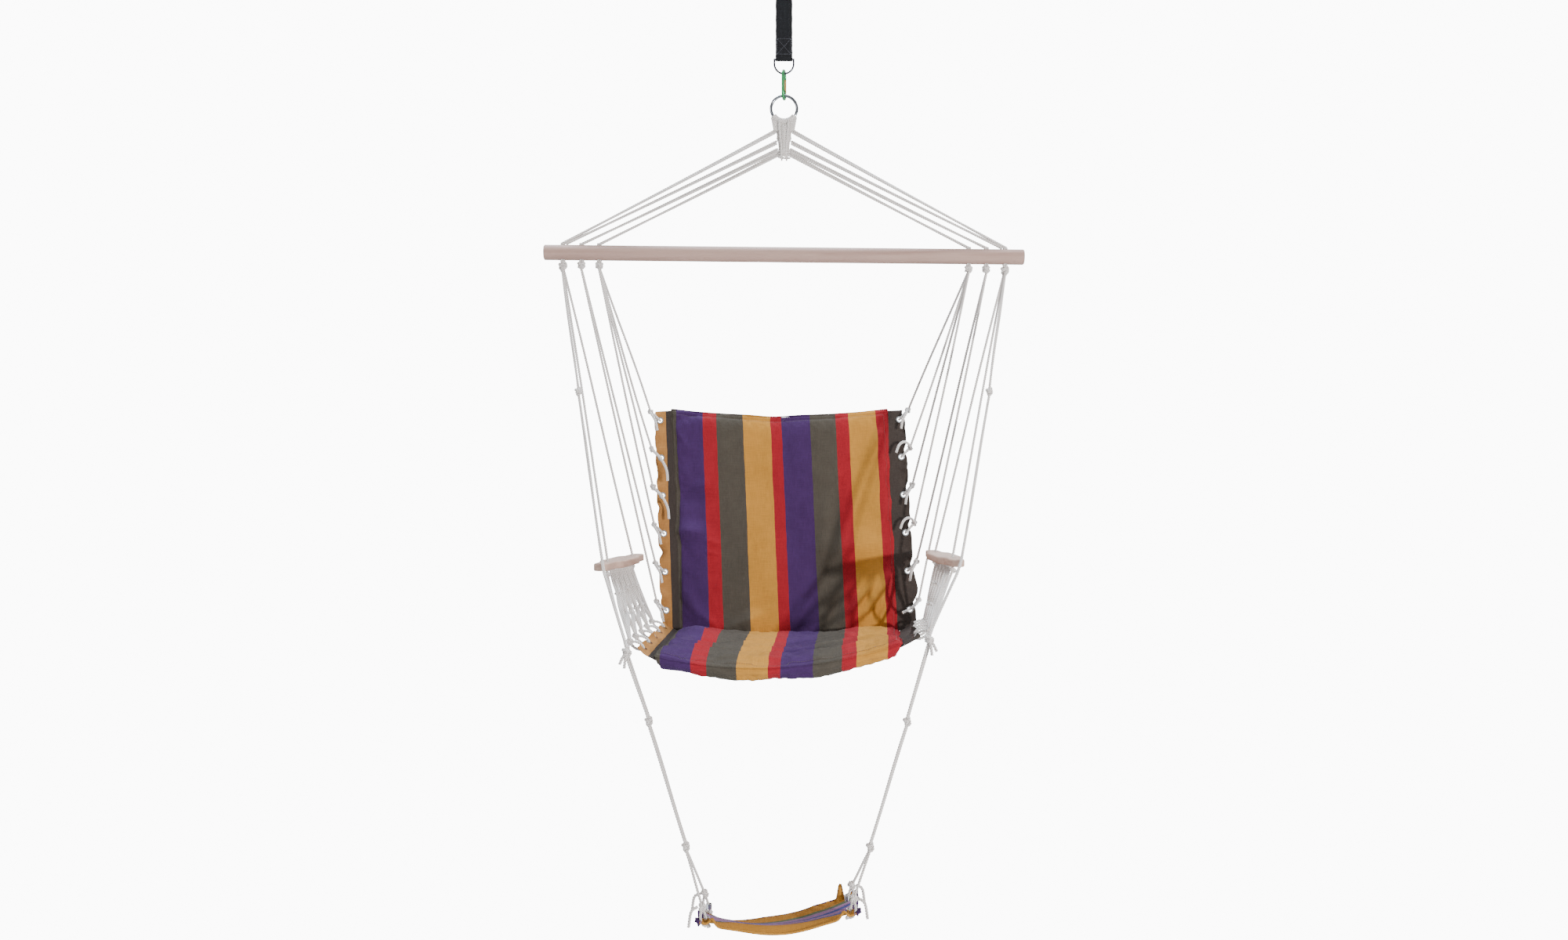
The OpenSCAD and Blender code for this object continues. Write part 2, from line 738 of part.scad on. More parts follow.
module footrest_tails() {
    color("#dcd6cf")
        for (side = [LEFT, RIGHT])
            for (v = [-1, 1]) {
                tie = foot_tie(side, v);
                rope_run([for (d = [[8.2, 0, 0], [20, v * 4, -8], [25, v * 6, -36]]) tie + sided(d, side)]);
            }
}

// ---- Nodes ----

hook_d_ring();
strap_webbing();
lower_d_ring();
carabiner_body();
gate_rivet();
carabiner_gate();
gate_spring();
suspension_ring();
ring_hitches();
rope_neck();
bridle_strands(LEFT);  // bridle_left
bridle_strands(RIGHT);  // bridle_right
spreader_bar();
bar_knots(LEFT);  // bar_knots_left
bar_knots(RIGHT);  // bar_knots_right
back_front_panel();
back_wadding();
back_rear_panel();
seat_top_panel();
seat_wadding();
seat_bottom_panel();
back_hem(LEFT, "#c8954f");  // back_hem_left
back_hem(RIGHT, "#4a4038");  // back_hem_right
seat_hem(LEFT, "#c8954f");  // seat_hem_left
seat_hem(RIGHT, "#4a4038");  // seat_hem_right
back_grommet_row(LEFT);  // back_grommets_left
back_grommet_row(RIGHT);  // back_grommets_right
seat_grommet_row(LEFT);  // seat_grommets_left
seat_grommet_row(RIGHT);  // seat_grommets_right
back_rope_set(LEFT);  // back_ropes_left
back_rope_set(RIGHT);  // back_ropes_right
arm_rope_set(LEFT);  // arm_ropes_left
arm_rope_set(RIGHT);  // arm_ropes_right
riser_rope_set(LEFT);  // riser_ropes_left
riser_rope_set(RIGHT);  // riser_ropes_right
riser_knot_set(LEFT);  // riser_knots_left
riser_knot_set(RIGHT);  // riser_knots_right
back_tie_row(LEFT);  // back_ties_left
back_tie_row(RIGHT);  // back_ties_right
seat_lacing_row(LEFT);  // seat_lacing_left
seat_lacing_row(RIGHT);  // seat_lacing_right
net(LEFT);  // net_left
net(RIGHT);  // net_right
back_tail_row(LEFT);  // back_tails_left
back_tail_row(RIGHT);  // back_tails_right
armrest(LEFT);  // armrest_left
armrest(RIGHT);  // armrest_right
footrest_rope_set(LEFT);  // footrest_ropes_left
footrest_rope_set(RIGHT);  // footrest_ropes_right
footrest_knot_set(LEFT);  // footrest_knots_left
footrest_knot_set(RIGHT);  // footrest_knots_right
footrest_panel();
footrest_grommets();
footrest_tie_set(LEFT);  // footrest_ties_left
footrest_tie_set(RIGHT);  // footrest_ties_right
footrest_tails();
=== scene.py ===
"""Looks of the hanging hammock chair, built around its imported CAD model.

Lengths inside the script are in millimetres, as in the CAD source, and become metres in mesh_piece.
Camera, stage and lights are in metres.
"""
import json
import math

import bmesh
import bpy
import numpy as np
from mathutils import Matrix, Vector
from mathutils.bvhtree import BVHTree

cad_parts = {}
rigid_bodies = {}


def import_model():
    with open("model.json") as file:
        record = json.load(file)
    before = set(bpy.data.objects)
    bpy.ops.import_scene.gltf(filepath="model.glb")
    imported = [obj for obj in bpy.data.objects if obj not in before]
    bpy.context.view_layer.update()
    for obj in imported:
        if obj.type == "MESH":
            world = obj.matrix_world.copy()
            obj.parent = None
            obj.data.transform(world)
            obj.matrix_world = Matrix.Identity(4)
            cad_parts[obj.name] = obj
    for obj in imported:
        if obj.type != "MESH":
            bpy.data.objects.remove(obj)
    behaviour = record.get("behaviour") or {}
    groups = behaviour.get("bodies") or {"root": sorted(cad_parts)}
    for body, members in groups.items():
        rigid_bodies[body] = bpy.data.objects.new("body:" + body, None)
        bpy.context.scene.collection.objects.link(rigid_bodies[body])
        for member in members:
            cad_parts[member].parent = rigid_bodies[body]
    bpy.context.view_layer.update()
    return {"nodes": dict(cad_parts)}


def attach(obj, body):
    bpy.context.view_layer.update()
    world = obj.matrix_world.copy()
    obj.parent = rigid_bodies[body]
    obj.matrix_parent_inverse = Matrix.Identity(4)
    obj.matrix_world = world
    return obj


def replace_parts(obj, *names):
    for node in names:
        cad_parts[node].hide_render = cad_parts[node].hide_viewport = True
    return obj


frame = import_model()

MM = 0.001
LEFT, RIGHT = -1, 1
SIDES = ((LEFT, "left"), (RIGHT, "right"))


# ---- Camera: level, straight on, as far away as the photograph's perspective says ----

PHOTO_W, FOCAL_PIXELS, SENSOR_W = 2001, 1652, 36
camera_data = bpy.data.cameras.new("camera")
camera_data.sensor_width = SENSOR_W
camera_data.lens = FOCAL_PIXELS * SENSOR_W / PHOTO_W
camera_data.clip_end = 60
camera = bpy.data.objects.new("camera", camera_data)
bpy.context.scene.collection.objects.link(camera)
camera.location = (0, -2.7, -1.08)
camera.rotation_euler = (math.radians(90), 0, 0)
bpy.context.scene.camera = camera


# ---- The CAD source's own measures and points ----

# Radii of drawn ropes: in the neck and its hitches, and elsewhere by what they make.
ROPE_R, HITCH_R, WRAP_R, LACE_R = 2.3, 2.1, 2.2, 2.8
YARN_R, TAIL_R, KNOT_YARN_R = 2.9, 3.2, 3.3
BAR_DROP, BAR_R, BAR_TILT = 631, 16, math.asin(0.01)
HOLE_X = (461, 422, 385)
KNOT_DROP = 25.7
RING_Z, RING_R, WIRE_R = -326.4, 27, 3
PAD_W, FRONT_W, BACK_H, BACK_SKEW, BACK_FOOT = 480, 460, 480, 21, 18
LEAN, SKEW = math.asin(60 / 480), math.asin(BACK_SKEW / BACK_H)
CREASE_Y, CREASE_Z, SEAT_Y, FRONT_Y, SEAT_DEPTH = 120, -1423, 112, -293, 405
FRONT_SHIFT, FRONT_SKEW, SEAT_SAG, SEAT_REAR_Z = -11, 12, 32, -1431
BACK_BELLY, BACK_SAG, BACK_THICK = 14, 12, 12.0
SEAT_RISE, REAR_SAG, SEAT_THICK = 11, 4, 17.0
SEAT_HEM_RISE = math.radians(27)
TIE_R, TIE_KNOT_R = 12, 6.5
TIE_OUT = 2 * TIE_R + TIE_KNOT_R - 1.5
ARM_LEN, ARM_W, ARM_END_W, ARM_T = 310, 50, 28, 15
ARM_TOE = {LEFT: math.radians(8), RIGHT: math.radians(3.5)}
ARM_HOLE_AT = 95
LINK = (413, -98, -922)
FOOT_LEN, FOOT_DEPTH, FOOT_Z, FOOT_SAG, FOOT_TROUGH, FOOT_SKEW = 305, 120, -1933, 38, 16, 9
FOOT_Y = -285
TIE_U, TIE_V = 0.86, 0.62
ROPE_GAP = 5.7
KNOT_ROUND = 13


def vec(*xyz):
    return np.array(xyz, float)


def unit(v):
    return np.asarray(v, float) / np.linalg.norm(v)


def lerp(a, b, t):
    return a + (b - a) * t


def sided(p, side):
    """A place given for the right, on either side."""
    return vec(side * p[0], p[1], p[2])


def toward(a, b, d):
    """The place a distance d from a on the way to b."""
    return np.asarray(a) + unit(np.asarray(b) - a) * d


def in_frame(f, p):
    """A place given in a frame of an origin and three axes."""
    return f[0] + p[0] * f[1] + p[1] * f[2] + p[2] * f[3]


BAR_FRAME = (
    vec(0, 0, -BAR_DROP),
    vec(math.cos(BAR_TILT), 0, -math.sin(BAR_TILT)),
    vec(0, 1, 0),
    vec(math.sin(BAR_TILT), 0, math.cos(BAR_TILT)),
)


def back_at(u, v):
    """The back's middle surface: u is -1 to 1 across it, v is 0 to 1 up it."""
    return np.stack([
        u * PAD_W / 2 + BACK_SKEW * (0.5 - v),
        CREASE_Y + v * BACK_H * math.sin(LEAN) + BACK_BELLY * (1 - u * u) * np.sin(math.pi * v),
        CREASE_Z - BACK_FOOT + v * (BACK_H * math.cos(LEAN) + BACK_FOOT) - BACK_SAG * (1 - u * u) * v,
    ], -1)


def seat_at(u, v):
    """The seat's middle surface: u is -1 to 1 across it, v is 0 to 1 towards the front."""
    return np.stack([
        u * lerp(PAD_W, FRONT_W, v) / 2 + lerp(BACK_SKEW / 2, FRONT_SHIFT, v),
        lerp(SEAT_Y, FRONT_Y, v) + 0 * u,
        SEAT_REAR_Z + (SEAT_RISE + FRONT_SKEW * u) * v - lerp(REAR_SAG, SEAT_SAG, v) * (1 - u * u),
    ], -1)


def back_hem_frame(side):
    ck, sk, cl, sl = math.cos(SKEW), math.sin(SKEW), math.cos(LEAN), math.sin(LEAN)
    return (
        vec(side * (PAD_W / 2 + 0.8) + BACK_SKEW / 2, CREASE_Y, CREASE_Z),
        side * vec(ck, sk * sl, sk * cl),
        vec(-sk, ck * sl, ck * cl),
        vec(0, -cl, sl),
    )


def seat_hem_frame(side):
    rear, front = (seat_at(float(side), v) + vec(side * 1.2, 0, 0) for v in (0.0, 1.0))
    fore = unit(front - rear)
    flat = side * unit(vec(-fore[1], fore[0], 0))
    rise = -side * np.cross(flat, fore)
    out = math.cos(SEAT_HEM_RISE) * flat + math.sin(SEAT_HEM_RISE) * rise
    return rear, out, fore, -side * np.cross(out, fore)


BACK_EYES = [vec(25, 38 + 84 * i, 0) for i in range(6)]
SEAT_EYES = [vec(29, 39 + 80 * i, 0) for i in range(5)]
TIE_AHEAD = vec(math.cos(math.radians(45)), math.sin(math.radians(45)), 0)


def back_tie(side, i):
    return in_frame(back_hem_frame(side), BACK_EYES[i] + TIE_OUT * TIE_AHEAD)


def lacing(side, i):
    return in_frame(seat_hem_frame(side), SEAT_EYES[i] + vec(TIE_OUT, 0, 0))


def fan(side, hole, i, n):
    """Where rope i of n leaves the stopper knot under one of the bar's holes."""
    y = ((n - 1) / 2 - i) * ROPE_GAP
    return in_frame(BAR_FRAME, (side * HOLE_X[hole], y, -KNOT_DROP - math.sqrt(KNOT_ROUND ** 2 - y * y)))


def arm_mid(side):
    return vec(side * 331 - 4, -54, -1264 + side * 4)


def arm_point(side, t, z):
    return arm_mid(side) + vec(-side * t * math.sin(ARM_TOE[side]), t * math.cos(ARM_TOE[side]), z)


def corner(side):
    return vec(side * 282 + FRONT_SHIFT, FOOT_Y, -1406 + side * FRONT_SKEW)


def foot_link(side):
    return vec(side * 241 + FRONT_SHIFT, FOOT_Y, -1549)


def foot_knot(side):
    return vec(side * 172 + FRONT_SHIFT, FOOT_Y, -1783)


def foot_at(u, v):
    """The footrest's surface: u is -1 to 1 across it, v is -1 to 1 towards the rear."""
    return np.stack([
        u * FOOT_LEN / 2 + FRONT_SHIFT,
        FOOT_Y + v * FOOT_DEPTH / 2,
        FOOT_Z + FOOT_SAG * u * u + FOOT_TROUGH * v * v + FOOT_SKEW * u,
    ], -1)


def foot_tie(side, v):
    return foot_at(side * TIE_U, v * TIE_V) + vec(side * 8, 0, 24)


# ---- Materials ----

def srgb(hex_colour):
    parts = [int(hex_colour[i:i + 2], 16) / 255 for i in (1, 3, 5)]
    return tuple(c / 12.92 if c <= 0.04045 else ((c + 0.055) / 1.055) ** 2.4 for c in parts) + (1.0,)


def grey(value):
    return (value, value, value, 1.0)


class Shade:
    """A material's node tree, with short calls for the nodes that every material here needs."""

    def __init__(self, name, roughness=0.6, **fixed):
        self.material = bpy.data.materials.new(name)
        self.material.use_nodes = True
        self.tree = self.material.node_tree
        self.shader = self.tree.nodes["Principled BSDF"]
        self.shader.inputs["Roughness"].default_value = roughness
        for socket, value in fixed.items():
            self.shader.inputs[socket.replace("_", " ")].default_value = value

    def node(self, kind, inputs=(), **settings):
        made = self.tree.nodes.new(kind)
        for key, value in settings.items():
            setattr(made, key, value)
        for key, value in dict(inputs).items():
            if isinstance(value, bpy.types.NodeSocket):
                self.tree.links.new(value, made.inputs[key])
            else:
                made.inputs[key].default_value = value
        return made

    def cloth(self):
        """The mesh's cloth attribute, in millimetres: the vector and its three parts."""
        place = self.node("ShaderNodeAttribute", attribute_name="cloth").outputs["Vector"]
        return place, *self.node("ShaderNodeSeparateXYZ", {0: place}).outputs

    def objects(self):
        """The place in the object, in metres."""
        return self.node("ShaderNodeTexCoord").outputs["Object"]

    def noise(self, place, scale, detail=3.0, rough=0.5):
        """Noise with its own scale on each axis."""
        vector = self.node("ShaderNodeMapping", {"Vector": place, "Scale": scale}).outputs[0]
        return self.node("ShaderNodeTexNoise", {
            "Vector": vector, "Scale": 1.0, "Detail": detail, "Roughness": rough,
        }).outputs["Fac"]

    def maths(self, operation, a, b=0.0, c=0.0):
        return self.node("ShaderNodeMath", {0: a, 1: b, 2: c}, operation=operation).outputs[0]

    def wave(self, along, length):
        return self.maths("SINE", self.maths("MULTIPLY", along, math.tau / length))

    def ramp(self, factor, stops, interpolation="LINEAR"):
        made = self.node("ShaderNodeValToRGB", {"Fac": factor})
        band = made.color_ramp
        band.interpolation = interpolation
        for element, (position, colour) in zip(band.elements, (stops[0], stops[-1])):
            element.position, element.color = position, colour
        for position, colour in stops[1:-1]:
            band.elements.new(position).color = colour
        return made.outputs["Color"]

    def mix(self, factor, a, b, blend="MIX"):
        inputs = {0: factor, 6: a, 7: b}
        return self.node("ShaderNodeMix", inputs, data_type="RGBA", blend_type=blend).outputs[2]

    def times(self, a, b):
        return self.mix(1.0, a, b, "MULTIPLY")

    def vary(self, factor, low, high):
        return self.node("ShaderNodeMapRange", {0: factor, 3: low, 4: high}).outputs[0]

    def bump(self, height, distance, strength, normal=None):
        inputs = {"Height": height, "Distance": distance, "Strength": strength}
        if normal is not None:
            inputs["Normal"] = normal
        return self.node("ShaderNodeBump", inputs).outputs["Normal"]

    def out(self, **sockets):
        for socket, value in sockets.items():
            self.tree.links.new(value, self.shader.inputs[socket.replace("_", " ")])
        return self.material


PURPLE, RED, OLIVE, OCHRE = srgb("#3c234e"), srgb("#8f1b24"), srgb("#453f37"), srgb("#b07a31")
DARK_OLIVE, BLUE, PINK, GREEN = srgb("#3a322e"), srgb("#4c5490"), srgb("#98749a"), srgb("#5f6e58")
HEM_OCHRE, FLECK = srgb("#a6733f"), srgb("#6a5a48")
# Each stripe is given by where it starts, in millimetres across the cloth.
STRIPES = (
    (-240, OLIVE), (-230, PURPLE), (-171, RED), (-141, OLIVE), (-83, OCHRE), (-22, RED), (4, PURPLE),
    (66, OLIVE), (122, RED), (152, OCHRE), (213, RED), (241, DARK_OLIVE),
)
FOOT_STRIPES = (
    (-80, OCHRE), (-22, DARK_OLIVE), (-17, GREEN), (-9, BLUE), (0, PINK), (14, BLUE), (20, PINK),
    (29, GREEN), (35, OCHRE), (64, PURPLE), (80, PURPLE),
)
HEM_LEFT_STRIPES = ((-5, DARK_OLIVE), (11, HEM_OCHRE), (45, HEM_OCHRE))
RAMP_HALF = 260
WEAVE = 1.15


def canvas(name, stripes=None, colour=None, axis="X"):
    """Plain-weave canvas. The cloth attribute holds the place on the cut cloth."""
    shade = Shade(name, Sheen_Weight=0.02, Sheen_Roughness=0.5, Specular_IOR_Level=0.12)
    place, across, along, _ = shade.cloth()
    base = colour
    if stripes:
        wobble = shade.vary(shade.noise(place, (0.02, 0.02, 0.02), 2.0), -1.6, 1.6)
        at = shade.maths("ADD", across if axis == "X" else along, wobble)
        at = shade.maths("MULTIPLY_ADD", at, 0.5 / RAMP_HALF, 0.5)
        stops = [((x / RAMP_HALF + 1) / 2, tint) for x, tint in stripes]
        stops[0] = (0.0, stops[0][1])
        base = shade.ramp(at, stops, "CONSTANT")
    warp, weft = shade.wave(across, WEAVE), shade.wave(along, WEAVE)
    cross = shade.vary(shade.maths("MULTIPLY", warp, weft), 0.0, 1.0)
    slub_up = shade.noise(place, (0.9, 0.035, 1), 4.0, 0.65)
    slub_across = shade.noise(place, (0.035, 0.9, 1), 4.0, 0.65)
    slubs = shade.maths("MULTIPLY", slub_up, slub_across)
    tone = shade.ramp(slubs, [(0.12, grey(0.80)), (0.28, grey(1.0)), (0.46, grey(1.16))])
    wear = shade.ramp(shade.noise(place, (0.012, 0.009, 1), 5.0, 0.6),
                      [(0.3, grey(0.90)), (0.7, grey(1.08))])
    flecks = shade.ramp(shade.noise(place, (0.33, 0.33, 1), 2.0, 0.7),
                        [(0.76, grey(0.0)), (0.80, grey(0.25))])
    base = shade.mix(flecks, shade.times(shade.times(base, tone), wear), FLECK)
    creases = shade.noise(place, (0.028, 0.018, 1), 6.0, 0.55)
    normal = shade.bump(creases, 0.0025, 0.5)
    normal = shade.bump(slubs, 0.0006, 0.5, normal)
    normal = shade.bump(cross, 0.00022, 0.7, normal)
    return shade.out(Base_Color=base, Roughness=shade.vary(slubs, 0.92, 0.62), Normal=normal)


def rope_material(name, hex_colour):
    """Laid cotton, with painted shade darkening the grooves between its strands. The cloth attribute holds
    the turn round the rope, the length and the groove.
    """
    shade = Shade(name, Sheen_Weight=0.1, Sheen_Roughness=0.6, Specular_IOR_Level=0.2)
    place, _, _, groove = shade.cloth()
    fibres = shade.noise(place, (0.9, 0.5, 0.0), 4.0, 0.7)
    soil = shade.ramp(shade.noise(place, (0.0, 0.02, 0.0)), [(0.3, grey(0.88)), (0.7, grey(1.0))])
    # Painted shade: the rope's colour darkens towards #b3aaa5 at the bottom of each groove between strands.
    deep = shade.ramp(groove, [(0.0, srgb("#b3aaa5")), (0.6, grey(1.0))])
    base = shade.times(shade.times(shade.mix(fibres, srgb(hex_colour), srgb("#f6f2ee")), soil), deep)
    return shade.out(Base_Color=base, Roughness=shade.vary(fibres, 0.75, 0.95),
                     Normal=shade.bump(fibres, 0.0005, 0.6))


def wood_material(name, light, dark, pale, stretch):
    shade = Shade(name, Specular_IOR_Level=0.35)
    place = shade.objects()
    light, dark, pale = srgb(light), srgb(dark), srgb(pale)
    rings = shade.noise(place, stretch, 5.0, 0.6)
    streaks = shade.noise(place, tuple(4.5 * s for s in stretch))
    base = shade.ramp(rings, [(0.28, dark), (0.5, light), (0.72, light), (0.8, dark)])
    base = shade.mix(shade.vary(streaks, 0.0, 0.55), base, dark)
    worn = shade.noise(place, (9, 9, 9), 2.0)
    base = shade.mix(shade.vary(worn, 0.0, 0.4), base, pale)
    return shade.out(Base_Color=base, Roughness=shade.vary(rings, 0.45, 0.7),
                     Normal=shade.bump(streaks, 0.0004, 0.5))


def metal_material(name, hex_colour, roughness, scratch=0.12, metallic=1.0, **fixed):
    shade = Shade(name, Metallic=metallic, **fixed)
    place = shade.objects()
    fine = shade.noise(place, (900, 900, 160), 3.0, 0.6)
    dull = shade.noise(place, (70, 70, 70), 3.0, 0.6)
    clean = srgb(hex_colour)
    base = shade.mix(shade.vary(dull, 0.0, 0.35), clean, tuple(0.6 * c for c in clean[:3]) + (1.0,))
    rough = shade.maths("ADD", shade.vary(fine, roughness, roughness + scratch),
                        shade.vary(dull, -0.03, 0.08))
    return shade.out(Base_Color=base, Roughness=rough, Normal=shade.bump(fine, 0.00008, 0.5))


def webbing_material():
    shade = Shade("black_webbing", Sheen_Weight=0.1, Sheen_Roughness=0.4, Specular_IOR_Level=0.2)
    place, across, along, _ = shade.cloth()
    diagonal = shade.maths("ADD", shade.maths("PINGPONG", across, 4.4), along)
    ribs = shade.vary(shade.wave(diagonal, 2.2), 0.0, 1.0)
    yarn = shade.vary(shade.wave(across, 1.1), 0.0, 1.0)
    fuzz = shade.noise(place, (0.8, 0.8, 0.8), 4.0, 0.7)
    base = shade.ramp(shade.maths("MULTIPLY", ribs, yarn), [(0.0, srgb("#08080b")), (1.0, srgb("#24242b"))])
    base = shade.mix(shade.vary(fuzz, 0.0, 0.5), base, srgb("#18181d"))
    normal = shade.bump(yarn, 0.00025, 0.6, shade.bump(ribs, 0.0005, 0.8))
    return shade.out(Base_Color=base, Roughness=shade.vary(fuzz, 0.55, 0.8), Normal=normal)


def thread_material(name, roughness, sheen, scale, dark, light):
    shade = Shade(name, roughness, Sheen_Weight=sheen)
    fluff = shade.noise(shade.objects(), (scale, scale, scale))
    return shade.out(Base_Color=shade.mix(fluff, srgb(dark), srgb(light)))


MAT = {
    "rope": rope_material("cotton_rope", "#ddd3cd"),
    "net": rope_material("net_rope", "#d6cac4"),
    "stripes": canvas("striped_canvas", STRIPES),
    "foot": canvas("footrest_canvas", FOOT_STRIPES, axis="Y"),
    "ochre_hem": canvas("ochre_hem", HEM_LEFT_STRIPES),
    "olive_hem": canvas("olive_hem", colour=DARK_OLIVE),
    "backing": canvas("backing_canvas", colour=HEM_OCHRE),
    "bar": wood_material("bar_wood", "#a6887c", "#88695d", "#b8998e", (3, 55, 55)),
    "arm": wood_material("arm_wood", "#c0a08f", "#9a7665", "#cdb3a6", (70, 6, 70)),
    "steel": metal_material("ring_steel", "#505257", 0.32),
    "chrome": metal_material("chrome", "#85888c", 0.12, 0.06),
    "eyelet": metal_material("eyelet_steel", "#dcdee0", 0.16, 0.08),
    "green": metal_material("green_aluminium", "#3d9a5c", 0.32, 0.12, 0.85,
                            Coat_Weight=0.35, Coat_Roughness=0.15),
    "gate": metal_material("gate_aluminium", "#c9a063", 0.30, 0.12, 0.9),
    "spring": metal_material("spring_steel", "#6d6f73", 0.35),
    "webbing": webbing_material(),
    "strap_thread": thread_material("strap_thread", 0.7, 0.3, 900, "#2c2c33", "#5c5c68"),
    "seam_thread": thread_material("seam_thread", 0.75, 0.2, 1200, "#2a2220", "#5a4c42"),
}


# ---- Meshes ----

def put(name, data):
    """A new object in the scene."""
    made = bpy.data.objects.new(name, data)
    bpy.context.scene.collection.objects.link(made)
    return made


def mesh_object(name, verts, faces):
    """A new mesh object of points in metres."""
    mesh = bpy.data.meshes.new(name)
    mesh.from_pydata(np.asarray(verts, float).tolist(), [], faces)
    mesh.update()
    return put(name, mesh)


def smooth(made, sharp=None):
    """Shades smooth, apart from edges sharper than an angle in degrees."""
    made.data.polygons.foreach_set("use_smooth", [True] * len(made.data.polygons))
    if sharp:
        made.data.set_sharp_from_angle(angle=math.radians(sharp))


def mesh_piece(name, verts, faces, material, body, cloth):
    """A visible piece of points in millimetres, riding on a body."""
    made = mesh_object(name, np.asarray(verts) * MM, faces)
    layer = made.data.attributes.new("cloth", "FLOAT_VECTOR", "POINT")
    layer.data.foreach_set("vector", np.asarray(cloth, np.float32).ravel())
    smooth(made)
    made.data.materials.append(material)
    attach(made, body)
    return made


def shell(rings, size, closed=False):
    """Faces over a run of rings of points, with flat ends unless the run closes on itself."""
    faces = []
    for i in range(rings if closed else rings - 1):
        a, b = i * size, (i + 1) % rings * size
        faces += [(a + j, a + (j + 1) % size, b + (j + 1) % size, b + j) for j in range(size)]
    if not closed:
        faces += [tuple(range(size))[::-1], tuple((rings - 1) * size + j for j in range(size))]
    return faces


class Soup:
    """Gathers parts of one mesh."""

    def __init__(self):
        self.verts, self.faces, self.cloth, self.n = [], [], [], 0

    def add(self, verts, faces, cloth):
        self.verts.append(np.asarray(verts, float))
        self.cloth.append(np.asarray(cloth, float))
        self.faces.extend([tuple(i + self.n for i in f) for f in faces])
        self.n += len(verts)

    def piece(self, name, material, body):
        return mesh_piece(name, np.concatenate(self.verts), self.faces, MAT[material], body,
                          np.concatenate(self.cloth))

    def rope(self, name, body, node, material="rope"):
        """The gathered ropes as one piece, in place of a CAD node."""
        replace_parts(self.piece(name, material, body), node)


def turn(n):
    """Angles an even step apart, once round."""
    return np.linspace(0, math.tau, n, endpoint=False)


def run_of(p):
    """The distance along a line at each of its points."""
    return np.concatenate([[0], np.cumsum(np.linalg.norm(np.diff(p, axis=0), axis=1))])


FINE = 2.0


def spline(points, step=4.0):
    """Points on a smooth curve through the given ones."""
    p = [np.asarray(q, float) for q in points]
    p = [2 * p[0] - p[1]] + p + [2 * p[-1] - p[-2]]
    out = []
    for a, b, c, d in zip(p, p[1:], p[2:], p[3:]):
        n = max(2, int(np.linalg.norm(c - b) / step))
        for t in np.arange(n) / n:
            out.append(0.5 * (2 * b + (c - a) * t + (2 * a - 5 * b + 4 * c - d) * t * t
                              + (3 * b - a - 3 * c + d) * t ** 3))
    return np.array(out + [p[-2]])


def even(points, step, closed=False):
    """The same line with points an even distance apart, and its length."""
    p = np.asarray(points, float)
    if closed:
        p = np.vstack([p, p[:1]])
    run = run_of(p)
    at = np.linspace(0, run[-1], max(3, int(round(run[-1] / step))) + 1)
    if closed:
        at = at[:-1]
    return np.stack([np.interp(at, run, p[:, k]) for k in range(3)], 1), run[-1]


RING = 15
GROOVE = 0.64


def tube(soup, points, r=YARN_R, closed=False, step=1.7, pitch=15.0, phase=0.0, laid=True, tip=0.75):
    """A rope of three strands, or a plain round cord, along a line of points."""
    p, length = even(points, step, closed)
    n = len(p)
    ahead = np.roll(p, -1, 0) - np.roll(p, 1, 0)
    if not closed:
        ahead[0], ahead[-1] = p[1] - p[0], p[-1] - p[-2]
    ahead /= np.linalg.norm(ahead, axis=1)[:, None]
    side = np.cross(ahead[0], (0, 0, 1) if abs(ahead[0][2]) < 0.9 else (0, 1, 0))
    sides = []
    for t in ahead:
        side = unit(side - t * side.dot(t))
        sides.append(side)
    sides = np.array(sides)
    ups = np.cross(ahead, sides)
    turns = math.tau * np.arange(n) * (length / n) / pitch
    if closed:
        end = sides[-1] - ahead[0] * sides[-1].dot(ahead[0])
        slip = math.atan2(np.cross(sides[0], end).dot(ahead[0]), sides[0].dot(end))
        whole = math.tau / 3 * round((length / pitch) * 3)
        turns = (whole - slip) * np.arange(n) / n
    around = math.tau * np.arange(RING) / RING
    radius = np.ones(RING)
    if laid:
        wedge = (around + math.pi / 3) % (math.tau / 3) - math.pi / 3
        radius = 0.5 * np.cos(wedge) + np.sqrt(np.maximum(0.25 - 0.25 * np.sin(wedge) ** 2, 0))
        radius = np.maximum(radius, GROOVE)
    angle = around[None, :] + turns[:, None] + phase
    thick = np.full(n, float(r))
    if not closed:
        thick[[0, -1]] *= tip
    offset = thick[:, None] * radius[None, :]
    verts = (p[:, None, :] + (offset * np.cos(angle))[..., None] * sides[:, None, :]
             + (offset * np.sin(angle))[..., None] * ups[:, None, :]).reshape(-1, 3)
    cloth = np.stack(np.broadcast_arrays(
        np.minimum(around, math.tau - around)[None, :] * r * 2,
        (np.arange(n) * (length / n))[:, None],
        ((radius - GROOVE) / (1 - GROOVE))[None, :]), -1).reshape(-1, 3)
    soup.add(verts, shell(n, RING, closed), cloth)


def slack(a, b, seed, bow=1.2, sag=0.0):
    """A line from a to b that wanders a little, as rope under light load does."""
    a, b = np.asarray(a, float), np.asarray(b, float)
    t = np.linspace(0, 1, max(8, int(np.linalg.norm(b - a) / 12)))[:, None]
    wave = np.sin(math.pi * t)
    p = a + (b - a) * t + wave * bow * vec(math.sin(seed * 1.7), math.cos(seed * 2.3), 0)
    p += np.sin(math.tau * t) * vec(math.sin(seed * 5.1), math.cos(seed * 3.3), 0) * bow * 0.5
    return p - wave * vec(0, 0, sag)


